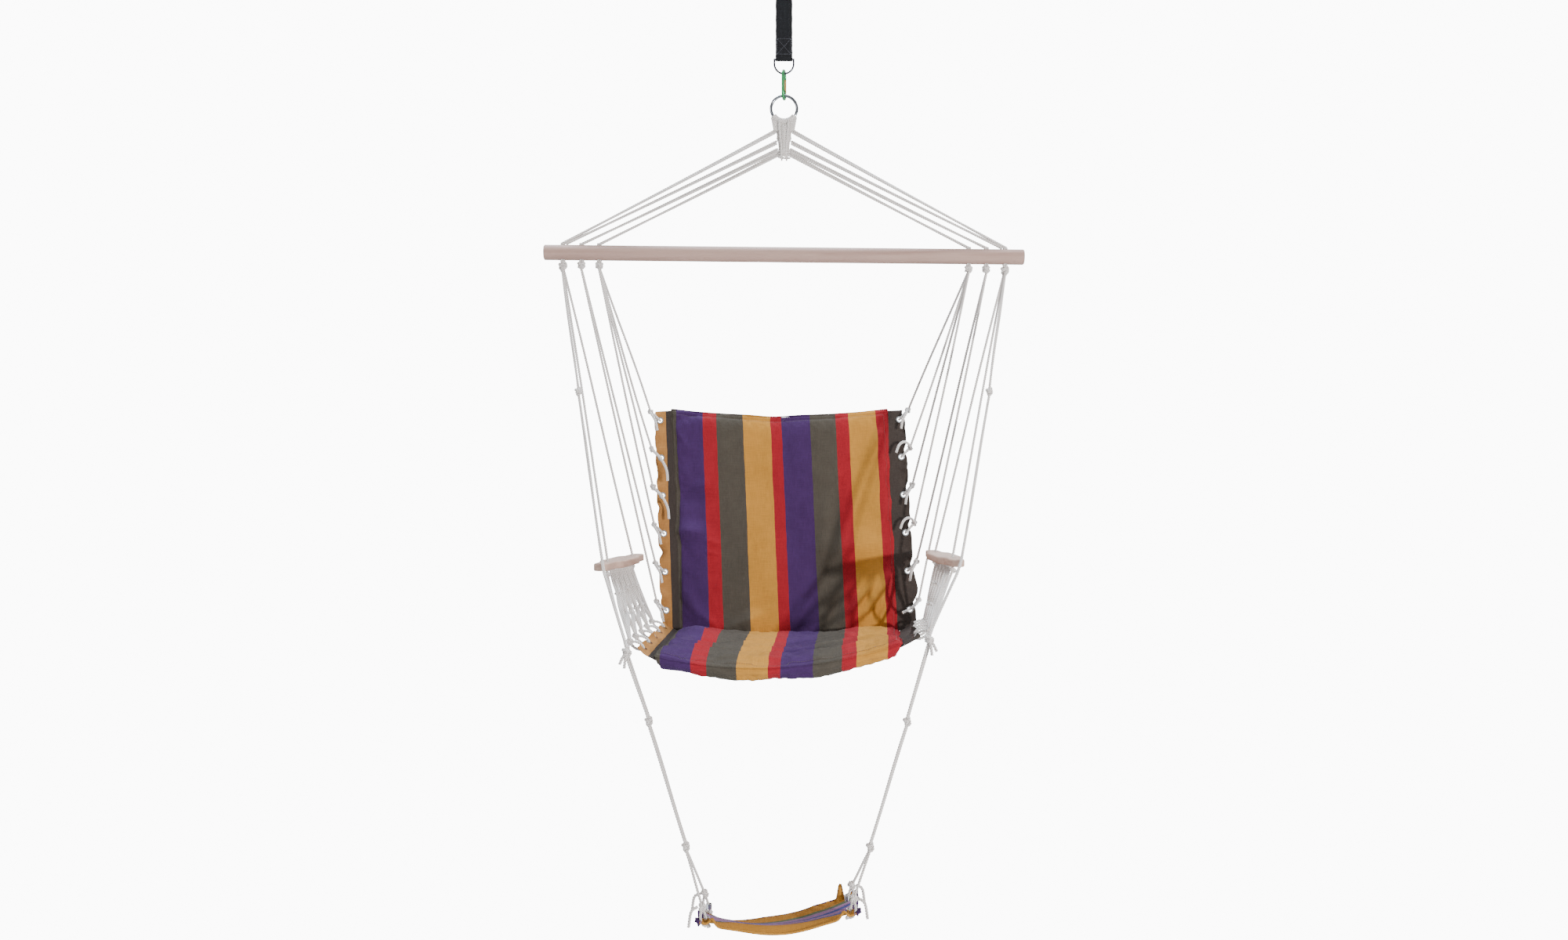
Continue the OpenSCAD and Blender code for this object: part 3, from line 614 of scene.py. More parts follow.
def knot(soup, centre, size, spin=0.0, tilt=0.0, tall=1.0):
    """An overhand knot drawn up tight, a little over size in radius."""
    t = turn(60)
    a = (1.15 * size - KNOT_YARN_R) / 3
    p = a * np.stack([np.sin(t) + 2 * np.sin(2 * t), np.cos(t) - 2 * np.cos(2 * t),
                      -1.5 * np.sin(3 * t)], 1)
    set_at = np.array(Matrix.Rotation(spin, 3, "Z") @ Matrix.Rotation(tilt, 3, "X"))
    tube(soup, (p @ set_at.T) * vec(1, 1, tall) + centre, KNOT_YARN_R, closed=True, step=1.4, pitch=11)


# ---- Free cords: the loose ends of the back's ties and of the footrest's ----

TAIL_SHORT = ((0.5, -8.6, -0.8), (-6, -18, -9), (-13, -20, -22), (-17, -22, -42))
TAIL_LONG = ((0.5, -8.6, -0.8), (-9, -19, -8), (-24, -22, -24), (-35, -26, -46), (-38, -29, -70))
TAIL_SLANT = ((0.5, -8.6, -0.8), (-8, -19, -9), (-22, -23, -19), (-38, -25, -26))
TAIL_ARCHED = ((0.5, -8.6, -0.8), (-4, -18, 6), (-15, -21, 12), (-26, -22, 5), (-33, -23, -12))
BACK_TAILS = {
    LEFT: (TAIL_SHORT, TAIL_SHORT, TAIL_SHORT, TAIL_LONG, TAIL_LONG, TAIL_SHORT),
    RIGHT: (TAIL_SLANT, TAIL_SHORT, TAIL_ARCHED, TAIL_SHORT, TAIL_ARCHED, TAIL_SHORT),
}
FOOT_TAIL = ((8.2, 0, 0), (20, 4, -8), (25, 6, -36))
TAIL_TIP = 0.95


def free_tail(name, points, body, node, seed):
    line = spline(points, FINE)
    soup = Soup()
    tube(soup, line, TAIL_R, phase=seed, tip=TAIL_TIP)
    made = soup.piece(name, "rope", body)
    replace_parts(made, node)


for side, word in SIDES:
    for i, tail in enumerate(BACK_TAILS[side]):
        free_tail(f"back_tail_{word}_{i}", [back_tie(side, i) + sided(d, side) for d in tail],
                  "sling", "back_tails_" + word, i + side)
    for v, end in ((-1, "front"), (1, "rear")):
        free_tail(f"footrest_tail_{word}_{end}",
                  [foot_tie(side, v) + sided((x, v * y, z), side) for x, y, z in FOOT_TAIL],
                  "footrest", "footrest_tails", v + side)


# ---- Hanger: CAD metal with finished surfaces, and the sewn strap ----

FINISHES = {
    "steel": ("hook_d_ring", "lower_d_ring"), "green": ("carabiner_body",), "gate": ("carabiner_gate",),
    "spring": ("gate_rivet", "gate_spring"), "chrome": ("suspension_ring",), "bar": ("spreader_bar",),
    "eyelet": ("back_grommets_left", "back_grommets_right", "seat_grommets_left",
               "seat_grommets_right", "footrest_grommets"),
}
for finish, nodes in FINISHES.items():
    for node in nodes:
        cad = frame["nodes"][node]
        cad.data.materials.clear()
        cad.data.materials.append(MAT[finish])
        smooth(cad, 35)


def band(name, line, half_width, thickness, body, slot):
    """A flat strap along a line in the Y-Z plane, with rolled selvedges."""
    p, length = even(line, 1.5)
    n = len(p)
    ahead = np.gradient(p, axis=0)
    ahead /= np.linalg.norm(ahead, axis=1)[:, None]
    out = np.cross(ahead, (1, 0, 0))
    s = np.linspace(-1, 1, 11)
    x = half_width * np.sign(s) * (1 - (1 - np.abs(s)) ** 1.4)
    half = thickness / 2 * np.sqrt(np.maximum(1 - np.maximum(np.abs(s) - 0.9125, 0) ** 2 * 90, 0.15))
    loop = list(zip(x, half)) + list(zip(x[::-1], -half[::-1]))
    wave = 1 + 0.012 * np.sin(np.arange(n) * 0.35)
    verts = [p[i] + vec(xx * wave[i], 0, 0) + out[i] * oo for i in range(n) for xx, oo in loop]
    cloth = [(xx, i * length / n, oo) for i in range(n) for xx, oo in loop]
    return mesh_piece(name, verts, shell(n, len(loop)), MAT[slot], body, cloth)


def arc(z, start, stop):
    """The webbing's way round a D-ring's bar at height z."""
    return [vec(0, STRAP_R * math.cos(a), z + STRAP_R * math.sin(a)) for a in np.linspace(start, stop, 14)]


HOOK_BAR_Z, LOWER_BAR_Z, STRAP_R, SEWN = -27.5, -223.5, 3.15, 46
STRAP_HALF_W, STRAP_T, STRAP_FRONT_Y, STRAP_REAR_Y, STITCH_HALF = 17.5, 1.6, -2.95, 1.6, 14.5
webbing_line = (
    [vec(0, 1.45, HOOK_BAR_Z - SEWN), vec(0, STRAP_REAR_Y, HOOK_BAR_Z - SEWN / 2),
     vec(0, STRAP_R, HOOK_BAR_Z - 4)] + arc(HOOK_BAR_Z, 0, math.pi)
    + [vec(0, STRAP_FRONT_Y, z) for z in (HOOK_BAR_Z - 6, -125.5, LOWER_BAR_Z + 6)]
    + arc(LOWER_BAR_Z, math.pi, math.tau)
    + [vec(0, STRAP_R, LOWER_BAR_Z + 4), vec(0, STRAP_REAR_Y, LOWER_BAR_Z + SEWN / 2),
       vec(0, 1.45, LOWER_BAR_Z + SEWN)]
)
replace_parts(band("strap", webbing_line, STRAP_HALF_W, STRAP_T, "strap", "webbing"), "strap_webbing")


def stitch_row(soup, points, normals, size=0.45, long=2.6, gap=1.1):
    """Sewing thread: short rounded bars lying along a line on a surface."""
    p, length = even(points, 0.5)
    at, given = np.linspace(0, length, len(p)), np.linspace(0, length, len(normals))
    ups = np.stack([np.interp(at, given, np.asarray(normals)[:, k]) for k in range(3)], 1)
    count = int(length / (long + gap))
    for i in range(count):
        mid = int((i + 0.5) / count * (len(p) - 1))
        ahead, up = unit(p[min(mid + 2, len(p) - 1)] - p[max(mid - 2, 0)]), unit(ups[mid])
        across = unit(np.cross(ahead, up))
        rings = [p[mid] + ahead * reach * long + across * wide * size * math.cos(a)
                 + up * (wide * size * math.sin(a) * 0.8 + size * 0.25)
                 for reach, wide in ((-0.5, 0.35), (-0.25, 1), (0.25, 1), (0.5, 0.35)) for a in turn(6)]
        soup.add(rings, shell(4, 6), np.tile((0.0, 0.0, 1.0), (24, 1)))


thread = Soup()
for z0, z1 in ((HOOK_BAR_Z - 10, HOOK_BAR_Z - SEWN + 4), (LOWER_BAR_Z + 10, LOWER_BAR_Z + SEWN - 4)):
    for y, facing in ((STRAP_FRONT_Y - 0.8, -1), (2.35, 1)):
        box = [vec(x * STITCH_HALF, y, z) for x, z in ((-1, z0), (1, z0), (1, z1), (-1, z1))]
        for a, b in ((0, 1), (1, 2), (2, 3), (3, 0), (0, 2), (1, 3)):
            stitch_row(thread, [box[a], box[b]], [vec(0, facing, 0)] * 2)
thread.piece("strap_stitching", "strap_thread", "strap")


# ---- Bridle: hitches on the ring, the bound neck, and the strands down to the bar ----

def on_ring(angle, swing):
    """A point on a loop of rope round the ring's wire, swing along the ring from its foot."""
    r = RING_R + (WIRE_R + ROPE_R) * math.cos(angle)
    return vec(r * math.sin(swing), (WIRE_R + ROPE_R) * math.sin(angle), RING_Z - r * math.cos(swing))


hitches = Soup()
N_HITCH = 10
for k in range(N_HITCH):
    middle = (k - (N_HITCH - 1) / 2) * math.radians(10.9)
    for half in (-1, 1):
        swing = middle + half * math.radians(2.6)
        x, z = 0.86 * (middle * 25 + half * 1.6), RING_Z - RING_R - 20
        loop = [on_ring(a, swing) for a in np.linspace(0.15 * math.pi, 1.85 * math.pi, 13)]
        tube(hitches, spline([vec(x, 3.6, z)] + loop + [vec(x, -3.6, z)], FINE), HITCH_R, phase=k)
    front = [on_ring(a, middle + t) + vec(0, -3.4, -1.5)
             for a, t in ((0.18, -0.085), (0.0, -0.05), (0.0, 0.05), (0.18, 0.085))]
    tube(hitches, spline(front, 1.5), WRAP_R, phase=k * 2)
hitches.rope("ring_hitch_ropes", "bridle", "ring_hitches")

NECK_TOP, NECK_LOW = RING_Z - 36, RING_Z - 100
NECK_DEPTHS, NECK_HALVES = (0, 22, 30, 44, 54, 80, 81), (21, 20, 17.5, 16.5, 13, 12.5, 11)


def neck_half(z):
    return float(np.interp(RING_Z - 20 - z, NECK_DEPTHS, NECK_HALVES))


neck = Soup()
N_PLAIT = 12
levels = np.linspace(NECK_TOP, NECK_LOW, 60)[::3]
for k in range(N_PLAIT):
    line = []
    for z in levels:
        phase = math.tau * ((NECK_TOP - z) / 52 + k / N_PLAIT)
        line.append(vec((neck_half(z) - ROPE_R) * math.asin(math.sin(phase)) * 2 / math.pi,
                        4.6 * math.cos(phase) + 2.2 * math.cos(3 * phase), z))
    tube(neck, spline(line, FINE), ROPE_R, phase=k)
for k in range(9):
    z = lerp(NECK_TOP + 4, NECK_LOW + 2, k / 8)
    for x in (-0.55, 0.55):
        x *= neck_half(z) - 3.5
        for y, out in ((1, 6.8), (-1, 7.4)):
            turns = [vec(x, 5.5 * y, z + 9), vec(x + 0.8 * y, out * y, z), vec(x, 5.6 * y, z - 9)]
            tube(neck, spline(turns, FINE), WRAP_R)
z = NECK_LOW + 2.5
wide = neck_half(z) - 0.5
wrap = [vec(wide * math.cos(a), 7.4 * math.sin(a), z + 5.2 * a / math.tau - 5)
        for a in np.linspace(0, 3.2 * math.tau, 60)]
tube(neck, spline(wrap, FINE), WRAP_R)
neck.rope("neck_plait", "bridle", "rope_neck")

# Height above the ring's middle, half width at the neck, and place along the bar.
BRIDLE = ((-47, 20.5, 464), (-70, 17.5, 455), (-86, 15.5, 422), (-95, 15, 385))
for side, word in SIDES:
    strands = Soup()
    for k, (height, half, place) in enumerate(BRIDLE):
        for y in (-2.6, 2.6):
            a = vec(side * (half - 3), 0.4 * y, RING_Z + height + 1.1 * y)
            b = in_frame(BAR_FRAME, (side * place, y, BAR_R + 2))
            tube(strands, slack(a, b, k * 2.1 + y + side, 1.0, 1.0), phase=k + y)
    strands.rope("bridle_ropes_" + word, "bridle", "bridle_" + word)

    knots = Soup()
    for k, x in enumerate(HOLE_X):
        for j in range(4):
            a = math.tau * (j + 0.5) / 4
            dx, dy = 3.3 * math.cos(a), 3.3 * math.sin(a)
            tube(knots, [in_frame(BAR_FRAME, (side * x + dx, dy, h))
                         for h in (BAR_R + 4, BAR_R - 8, -BAR_R - 6)], phase=j)
        low, tall = (3.0, 1.45) if k == 0 else (0.0, 1.0)
        centre = in_frame(BAR_FRAME, (side * x, 0, -KNOT_DROP - low))
        knot(knots, centre, 9.0, spin=0.7 * k, tilt=1.2, tall=tall)
        knot(knots, centre, 8.2, spin=1.3 + k, tilt=0.3, tall=tall)
        for j in (0, 1):
            z = 7.04 * (0.5 - j)
            ring = [centre + vec(6.4 * math.cos(a), 6.4 * math.sin(a), z + 1.3 * math.sin(a + j))
                    for a in turn(20)]
            tube(knots, ring, ROPE_R, closed=True, phase=j)
    knots.rope("bar_knot_ropes_" + word, "bridle", "bar_knots_" + word)


# ---- Ropes of the sling ----

N_CORD = 10
INTO_KNOT = vec(0, 0, 4)


def eyelet_loop(eye, ahead, reach, bulge, height):
    """A loop of rope through an eyelet, as places in its hem's frame."""
    return [eye + ahead * reach * (1 - math.cos(a)) + bulge(a) + vec(0, 0, height * math.sin(a))
            for a in turn(26)]


def net_low(side, t):
    return lerp(lacing(side, 0), lacing(side, 4), t)


def net_at(side, k, t):
    """A place in the net: cord k of the row, t of the way from the armrest down to the lacing."""
    row = k / (N_CORD - 1)
    return lerp(arm_point(side, lerp(72, -72, row), -ARM_T / 2 - 3.0), net_low(side, row), t)


def net_cords(side):
    net = Soup()
    for j in range(N_CORD):
        step = 0.5 if j % 2 == 0 else -0.5
        mate, other = j + step, j if j in (0, N_CORD - 1) else j - step

        def nudge(k):
            return vec(0, 2.4 * np.sign(k - j), 0)

        points = [net_at(side, j, 0), net_at(side, mate, 1 / 3) + nudge(mate),
                  net_at(side, other, 2 / 3) + nudge(other),
                  lacing(side, j // 2) + nudge(mate) + vec(0, 0, 5)]
        for half in (-1, 1):
            spread = ((0, 2.3), (1.9, 1.2), (1.9, -1.2), (0.8, 1.6))
            a, b, c, d = [q + half * vec(x, y, 0) for q, (x, y) in zip(points, spread)]
            full = [a, lerp(a, b, 0.5) + vec(1.4 * half, 0.8, 0),
                    b, lerp(b, c, 0.5) + vec(-1.2, 0.9 * half, 0),
                    c, lerp(c, d, 0.5) + vec(0, 0.7, 0.4), d]
            tube(net, spline(full), YARN_R, phase=j + half, step=2.0)
        for t, meet in ((1 / 3, mate), (2 / 3, other)):
            if meet > j:
                centre = net_at(side, meet, t)
                wrap = [centre + vec(4.6 * math.cos(a), 5.6 * math.sin(a), 2.6 * math.sin(a + j))
                        for a in turn(16)]
                tube(net, wrap, YARN_R, closed=True, phase=j)
    return net


for side, word in SIDES:
    ropes = Soup()
    for hole, i, n, tie in [(2, i, 4, 5 - i) for i in range(4)] + [(1, i, 2, 1 - i) for i in range(2)]:
        a = fan(side, hole, i, n) + INTO_KNOT
        line = slack(a, toward(back_tie(side, tie), a, 4), hole + i * 1.9 + side, 1.6, 1.0)
        tube(ropes, line, phase=i + hole)
    ropes.rope("back_rope_lines_" + word, "sling", "back_ropes_" + word)

    ties = Soup()
    for i, eye in enumerate(BACK_EYES):
        loop = eyelet_loop(eye, TIE_AHEAD, 12.6, lambda a: vec(0.8 * math.sin(2 * a), 0, 0), 7.2)
        tube(ties, [in_frame(back_hem_frame(side), p) for p in loop], closed=True, phase=i)
        knot(ties, back_tie(side, i), 7.0, spin=i * 1.1, tilt=0.5 * i, tall=1.1)
    ties.rope("back_tie_loops_" + word, "sling", "back_ties_" + word)

    arms = Soup()
    for i, foot, foot_r in ((0, lacing(side, 0) + vec(0, 10.5, 0), 0), (1, corner(side), 4.5)):
        at = ARM_HOLE_AT * (1 - 2 * i)
        top, low, under = (arm_point(side, at, z) for z in (ARM_T / 2 + 4, -ARM_T / 2 - 4, -ARM_T / 2 - 9))
        tube(arms, [*slack(fan(side, 0, i, 4) + INTO_KNOT, top, i + 5.0 + side, 1.4, 0.5), low], phase=i)
        knot(arms, under, 7.2, spin=i + 0.4, tilt=0.8)
        tube(arms, slack(toward(under, foot, 4), toward(foot, under, foot_r), i + 2.2, 1.0), phase=i + 1)
    arms.rope("arm_rope_lines_" + word, "sling", "arm_ropes_" + word)

    risers = Soup()
    mid, bend, top = sided(LINK, side), arm_mid(side) + sided((10, -166, -6.5), side), corner(side)
    for i in (2, 3):
        y = vec(0, (2.5 - i) * 5.8, 0)
        upper, lower = mid + y * 0.6 + vec(0, 0, 5), mid + y * 0.6 - vec(0, 0, 5)
        tube(risers, slack(fan(side, 0, i, 4) + INTO_KNOT, upper, i + 3.3 * side, 1.6), phase=i)
        line = [*slack(lower, bend + y, i - side, 1.4)[:-1],
                *slack(bend + y, top + y + vec(0, 0, 6), i, 0.4)]
        tube(risers, spline(line[::2], 5), phase=i)
    risers.rope("riser_rope_lines_" + word, "sling", "riser_ropes_" + word)

    lumps = Soup()
    knot(lumps, mid, 8.0, spin=0.4, tilt=1.0, tall=1.25)
    knot(lumps, mid, 7.2, spin=1.8, tilt=0.2, tall=1.3)
    knot(lumps, top, 9.6, spin=1.0, tilt=0.9, tall=1.2)
    knot(lumps, top + vec(0, 1, -3), 8.6, spin=2.4, tilt=0.3, tall=1.2)
    for j, (x, y, z) in enumerate(((13, -6, -24), (4, -8, -31))):
        line = [top + vec(0, -4, -4), top + sided((x * 0.5, y, z * 0.4), side),
                top + sided((x, y - 2, z), side)]
        tube(lumps, spline(line), TAIL_R, phase=j, tip=TAIL_TIP)
    lumps.rope("riser_knot_ropes_" + word, "sling", "riser_knots_" + word)

    lace = Soup()
    for i, eye in enumerate(SEAT_EYES):
        for j in (-1, 1):
            loop = eyelet_loop(eye, vec(1, 0, 0), 12.4,
                               lambda a: vec(0, 2.2 * j * math.sin(a / 2) ** 2, 0), 6.0)
            tube(lace, [in_frame(seat_hem_frame(side), p) for p in loop], LACE_R, closed=True, phase=i + j)
        knot(lace, lacing(side, i), 7.2, spin=i * 0.9, tilt=0.4 * i, tall=1.1)
    lace.rope("seat_lacing_loops_" + word, "sling", "seat_lacing_" + word, "net")
    net_cords(side).rope("net_cords_" + word, "sling", "net_" + word, "net")


# ---- Armrests: rounded boards with a row of hitches under them ----

BORE_R, BOARD_EASE = 5.2, 3.2


def finish_mesh(made, spare=()):
    """Applies the modifiers and removes the objects that they used."""
    bpy.context.view_layer.update()
    graph = bpy.context.evaluated_depsgraph_get()
    mesh = bpy.data.meshes.new_from_object(made.evaluated_get(graph))
    made.modifiers.clear()
    made.data = mesh
    for extra in spare:
        bpy.data.objects.remove(extra)
    return made


def board(name, side):
    """A board with shoulders, narrow rounded ends and eased edges, and a bore near each end."""
    half, wide, end, t = (ARM_LEN - ARM_END_W) / 2, ARM_W / 2, ARM_END_W / 2, ARM_T / 2
    outline = [(end, -half), (end, -82), (wide, -66), (wide, 66), (end, 82), (end, half)]
    outline += [(end * math.cos(a), half + end * math.sin(a)) for a in np.linspace(0, math.pi, 15)[1:-1]]
    outline = np.array([(x, y, 0) for x, y in outline + [(-x, -y) for x, y in outline]])
    outline = even(outline, 3.0, True)[0]
    for _ in range(2):
        outline = outline / 2 + (np.roll(outline, 1, 0) + np.roll(outline, -1, 0)) / 4
    ahead = np.roll(outline, -1, 0) - np.roll(outline, 1, 0)
    inward = np.cross((0, 0, 1), ahead / np.linalg.norm(ahead, axis=1)[:, None])
    rims = [(2.4 * BOARD_EASE, t)] + [(BOARD_EASE * (1 - math.sin(a)), t - BOARD_EASE * (1 - math.cos(a)))
                                      for a in np.linspace(0, math.pi / 2, 5)]
    rims += [(inset, -z) for inset, z in rims[::-1]]
    verts = np.concatenate([outline + inward * inset + vec(0, 0, z) for inset, z in rims])
    *walls, head, foot = shell(len(rims), len(outline))
    faces = [f[:1] + f[:0:-1] for f in walls] + [head[::-1], foot[::-1]]
    toe = np.array(Matrix.Rotation(side * ARM_TOE[side], 3, "Z"))
    made = mesh_object(name, (verts @ toe.T + arm_mid(side)) * MM, faces)
    cutters = []
    for at in (-ARM_HOLE_AT, ARM_HOLE_AT):
        shape = bmesh.new()
        bmesh.ops.create_cone(shape, cap_ends=True, segments=32, radius1=BORE_R * MM,
                              radius2=BORE_R * MM, depth=40 * MM)
        cutter = put("bore", bpy.data.meshes.new("bore"))
        shape.to_mesh(cutter.data)
        shape.free()
        cutter.location = arm_point(side, at, 0) * MM
        cutters.append(cutter)
        cut = made.modifiers.new("bore", "BOOLEAN")
        cut.object, cut.operation, cut.solver = cutter, "DIFFERENCE", "EXACT"
    finish_mesh(made, cutters)
    made.data.materials.clear()
    made.data.materials.append(MAT["arm"])
    smooth(made, 40)
    return made


N_HEAD = 18
for side, word in SIDES:
    arm = board("armrest_board_" + word, side)
    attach(arm, "armrest_" + word)
    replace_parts(arm, "armrest_" + word)

    heads = Soup()
    for k in range(N_HEAD):
        row = k / (N_HEAD - 1)
        at = lerp(74, -74, row)
        for half in (-1, 1):
            p = [arm_point(side, at + half * 1.7, 0) + sided((x, 0, z), side)
                 for x, z in ((9, -6.5), (9.5, -9.5), (0, -11.5), (-9.5, -9.5), (-9, -6.5))]
            tube(heads, spline(p, FINE), HITCH_R, phase=k + half)
        top = arm_point(side, at, -ARM_T / 2 - 2.6)
        low = lerp(top, net_low(side, row), 0.14)
        tube(heads, spline([top, lerp(top, low, 0.5) + vec(0, 1.2, 0), low], 3.0), 2.4, phase=k)
    heads.piece("armrest_hitches_" + word, "net", "armrest_" + word)


# ---- Padded back and seat ----

def smooth01(t):
    t = np.clip(t, 0, 1)
    return t * t * (3 - 2 * t)


def stations(length, step=8.0):
    """Distances across a pad, closer together at its edges."""
    edge = [0, 1.5, 4, 8, 13]
    inner = np.linspace(19, length - 19, int(round((length - 38) / step)) + 1)
    return np.concatenate([edge, inner, [length - d for d in edge[::-1]]])


def pillow(name, middle, normal, thickness, width, depth, striped_under=1.0, ease=11.0,
           fuller_front=0.0):
    """A closed pad of two panels that share a seam. Gives the object and its seam's points."""
    xs, ys = stations(width), stations(depth)
    nx, ny = len(xs), len(ys)
    u, v = np.meshgrid(xs / width * 2 - 1, ys / depth)
    x, y = np.meshgrid(xs, ys)

    def rise(d, full):
        d = np.clip(np.minimum(d, full - d) / ease, 0, 1)
        return np.sqrt(1 - (1 - d) ** 2)

    h = thickness / 2 * rise(x, width) * rise(y, depth)
    deep = h * (1 + 2 * fuller_front / thickness * smooth01((v - 0.6) / 0.3))
    mid = middle(u, v)
    seam = h == 0
    top, low = mid + normal * h[..., None], mid - normal * deep[..., None]
    flat = np.stack([x - width / 2, y, 0 * x], -1)
    verts = np.concatenate([top.reshape(-1, 3), low[~seam]])
    cloth = np.concatenate([flat.reshape(-1, 3), flat[~seam] + vec(0, 0, 1)])
    under = np.arange(nx * ny).reshape(ny, nx)
    under[~seam] = np.arange(nx * ny, len(verts))
    faces, slots = [], []
    outward = np.cross(mid[0, 1] - mid[0, 0], mid[1, 0] - mid[0, 0]).dot(normal) > 0
    for i in range(ny - 1):
        for j in range(nx - 1):
            a = i * nx + j
            quads = ((a, a + 1, a + nx + 1, a + nx),
                     (under[i, j], under[i + 1, j], under[i + 1, j + 1], under[i, j + 1]))
            faces += [q if outward else q[::-1] for q in quads]
            slots += [0, 0 if v[i, j] >= striped_under else 1]
    made = mesh_piece(name, verts, faces, MAT["stripes"], "sling", cloth)
    made.data.materials.append(MAT["backing"])
    made.data.polygons.foreach_set("material_index", slots)
    return made, np.flatnonzero(seam.ravel()).tolist()


def read(items, key, kind=float):
    """One vector from each item of a mesh."""
    flat = np.empty(len(items) * 3, kind)
    items.foreach_get(key, flat)
    return flat.reshape(-1, 3).astype(float)


def set_coords(mesh, points):
    mesh.vertices.foreach_set("co", np.asarray(points, float).ravel())
    mesh.update()


def inflate(made, rim, cap):
    """Swells a pad by cloth simulation, with its seam held, and lets no point move further than cap."""
    scene = bpy.context.scene
    before = read(made.data.vertices, "co")
    group = made.vertex_groups.new(name="seam")
    group.add(rim, 1.0, "REPLACE")
    cloth = made.modifiers.new("cloth", "CLOTH")
    for key, value in dict(
        quality=6, mass=0.2, tension_stiffness=12, compression_stiffness=12, shear_stiffness=4,
        bending_stiffness=0.6, vertex_group_mass="seam", pin_stiffness=1.0, shrink_min=-0.012,
        use_pressure=True, uniform_pressure_force=4.0,
    ).items():
        setattr(cloth.settings, key, value)
    cloth.settings.effector_weights.gravity = 0
    cloth.collision_settings.use_self_collision = False
    cloth.point_cache.frame_start, cloth.point_cache.frame_end = 1, 30
    for number in range(1, 21):
        scene.frame_set(number)
    graph = bpy.context.evaluated_depsgraph_get()
    after = read(made.evaluated_get(graph).data.vertices, "co")
    made.modifiers.clear()
    made.vertex_groups.clear()
    scene.frame_set(1)
    moved = after - before
    far = np.linalg.norm(moved, axis=1)[:, None]
    limit = cap * MM
    set_coords(made.data, before + moved * limit * np.tanh(far / limit) / np.maximum(far, 1e-9))


def subdivide(made):
    step = made.modifiers.new("smooth", "SUBSURF")
    step.levels = step.render_levels = 1
    smooth(finish_mesh(made))


def ridge(x, y, fold):
    """The height of a fold, which fades at its ends. See BACK_FOLDS."""
    x0, y0, x1, y1, width, height = fold
    ax, ay = x1 - x0, y1 - y0
    t = np.clip(((x - x0) * ax + (y - y0) * ay) / (ax * ax + ay * ay), 0, 1)
    d = np.hypot(x - x0 - t * ax, y - y0 - t * ay)
    return height * np.exp(-(d / width) ** 2) * (0.25 + 0.75 * np.sin(math.pi * t))


def ripple(x, y, size, seed):
    """Smooth deterministic unevenness, about 1 high, of a given size in millimetres."""
    rng = np.random.RandomState(seed)
    total = np.zeros_like(x)
    for _ in range(9):
        a = rng.uniform(0, math.tau)
        k = math.tau / (size * rng.uniform(0.6, 1.7))
        total += np.sin(k * (x * math.cos(a) + y * math.sin(a)) + rng.uniform(0, math.tau))
    return total / 4


SEAM_IN = 7.5


def crumple(made, folds, micro, width, depth):
    """Moves a pad's points along its normals: folds, puckered seams and small unevenness."""
    mesh = made.data
    x, y, under = read(mesh.attributes["cloth"].data, "vector", np.float32).T
    normals = read(mesh.vertices, "normal")
    edge = np.minimum(np.minimum(x + width / 2, width / 2 - x), np.minimum(y, depth - y))
    inside = smooth01(edge / 16)
    height = micro * (ripple(x, y, 120, 3) + 0.5 * ripple(x, y, 45, 5)) * inside
    height += 0.35 * micro * ripple(x, y * 0.4, 22, 8) * inside
    for fold in folds:
        height += np.where(under < 0.5, 2.0 * ridge(x, y, fold), 0)
    pucker = 0.5 + 0.35 * ripple(x, y, 30, 12)
    height -= 1.8 * np.exp(-((edge - SEAM_IN) / 2.6) ** 2) * (1 + 0.25 * pucker)
    height += 1.1 * pucker * np.exp(-((edge - 20) / 9) ** 2) * np.sin(0.31 * x + 0.27 * y)
    set_coords(mesh, read(mesh.vertices, "co") + normals * (height * MM)[:, None])


def on_surface(made, points):
    """The nearest points of a pad's surface to the given ones, with its normals there, in millimetres."""
    mesh = made.data
    tree = BVHTree.FromPolygons([tuple(v.co) for v in mesh.vertices],
                                [tuple(p.vertices) for p in mesh.polygons])
    hits, normals = [], []
    for p in points:
        place, normal, _, _ = tree.find_nearest(Vector(np.asarray(p) * MM))
        hits.append(np.array(place) / MM)
        normals.append(np.array(normal))
    return hits, normals


def piping(name, points, places, body, radius, material="stripes"):
    """A sewn edge: a thin cord of cloth along a pad's seam, with its places on the cut cloth."""
    soup = Soup()
    tube(soup, points, radius, laid=False, step=3.0)
    run = run_of(points)
    n = len(soup.verts[0]) // RING
    at = np.linspace(0, run[-1], n)
    x, y = (np.repeat(np.interp(at, run, places[:, k]), RING) for k in (0, 1))
    soup.cloth[0] = np.stack([x, y + np.tile(np.arange(RING) * radius * 0.4, n), 0 * x], 1)
    soup.piece(name, material, body)


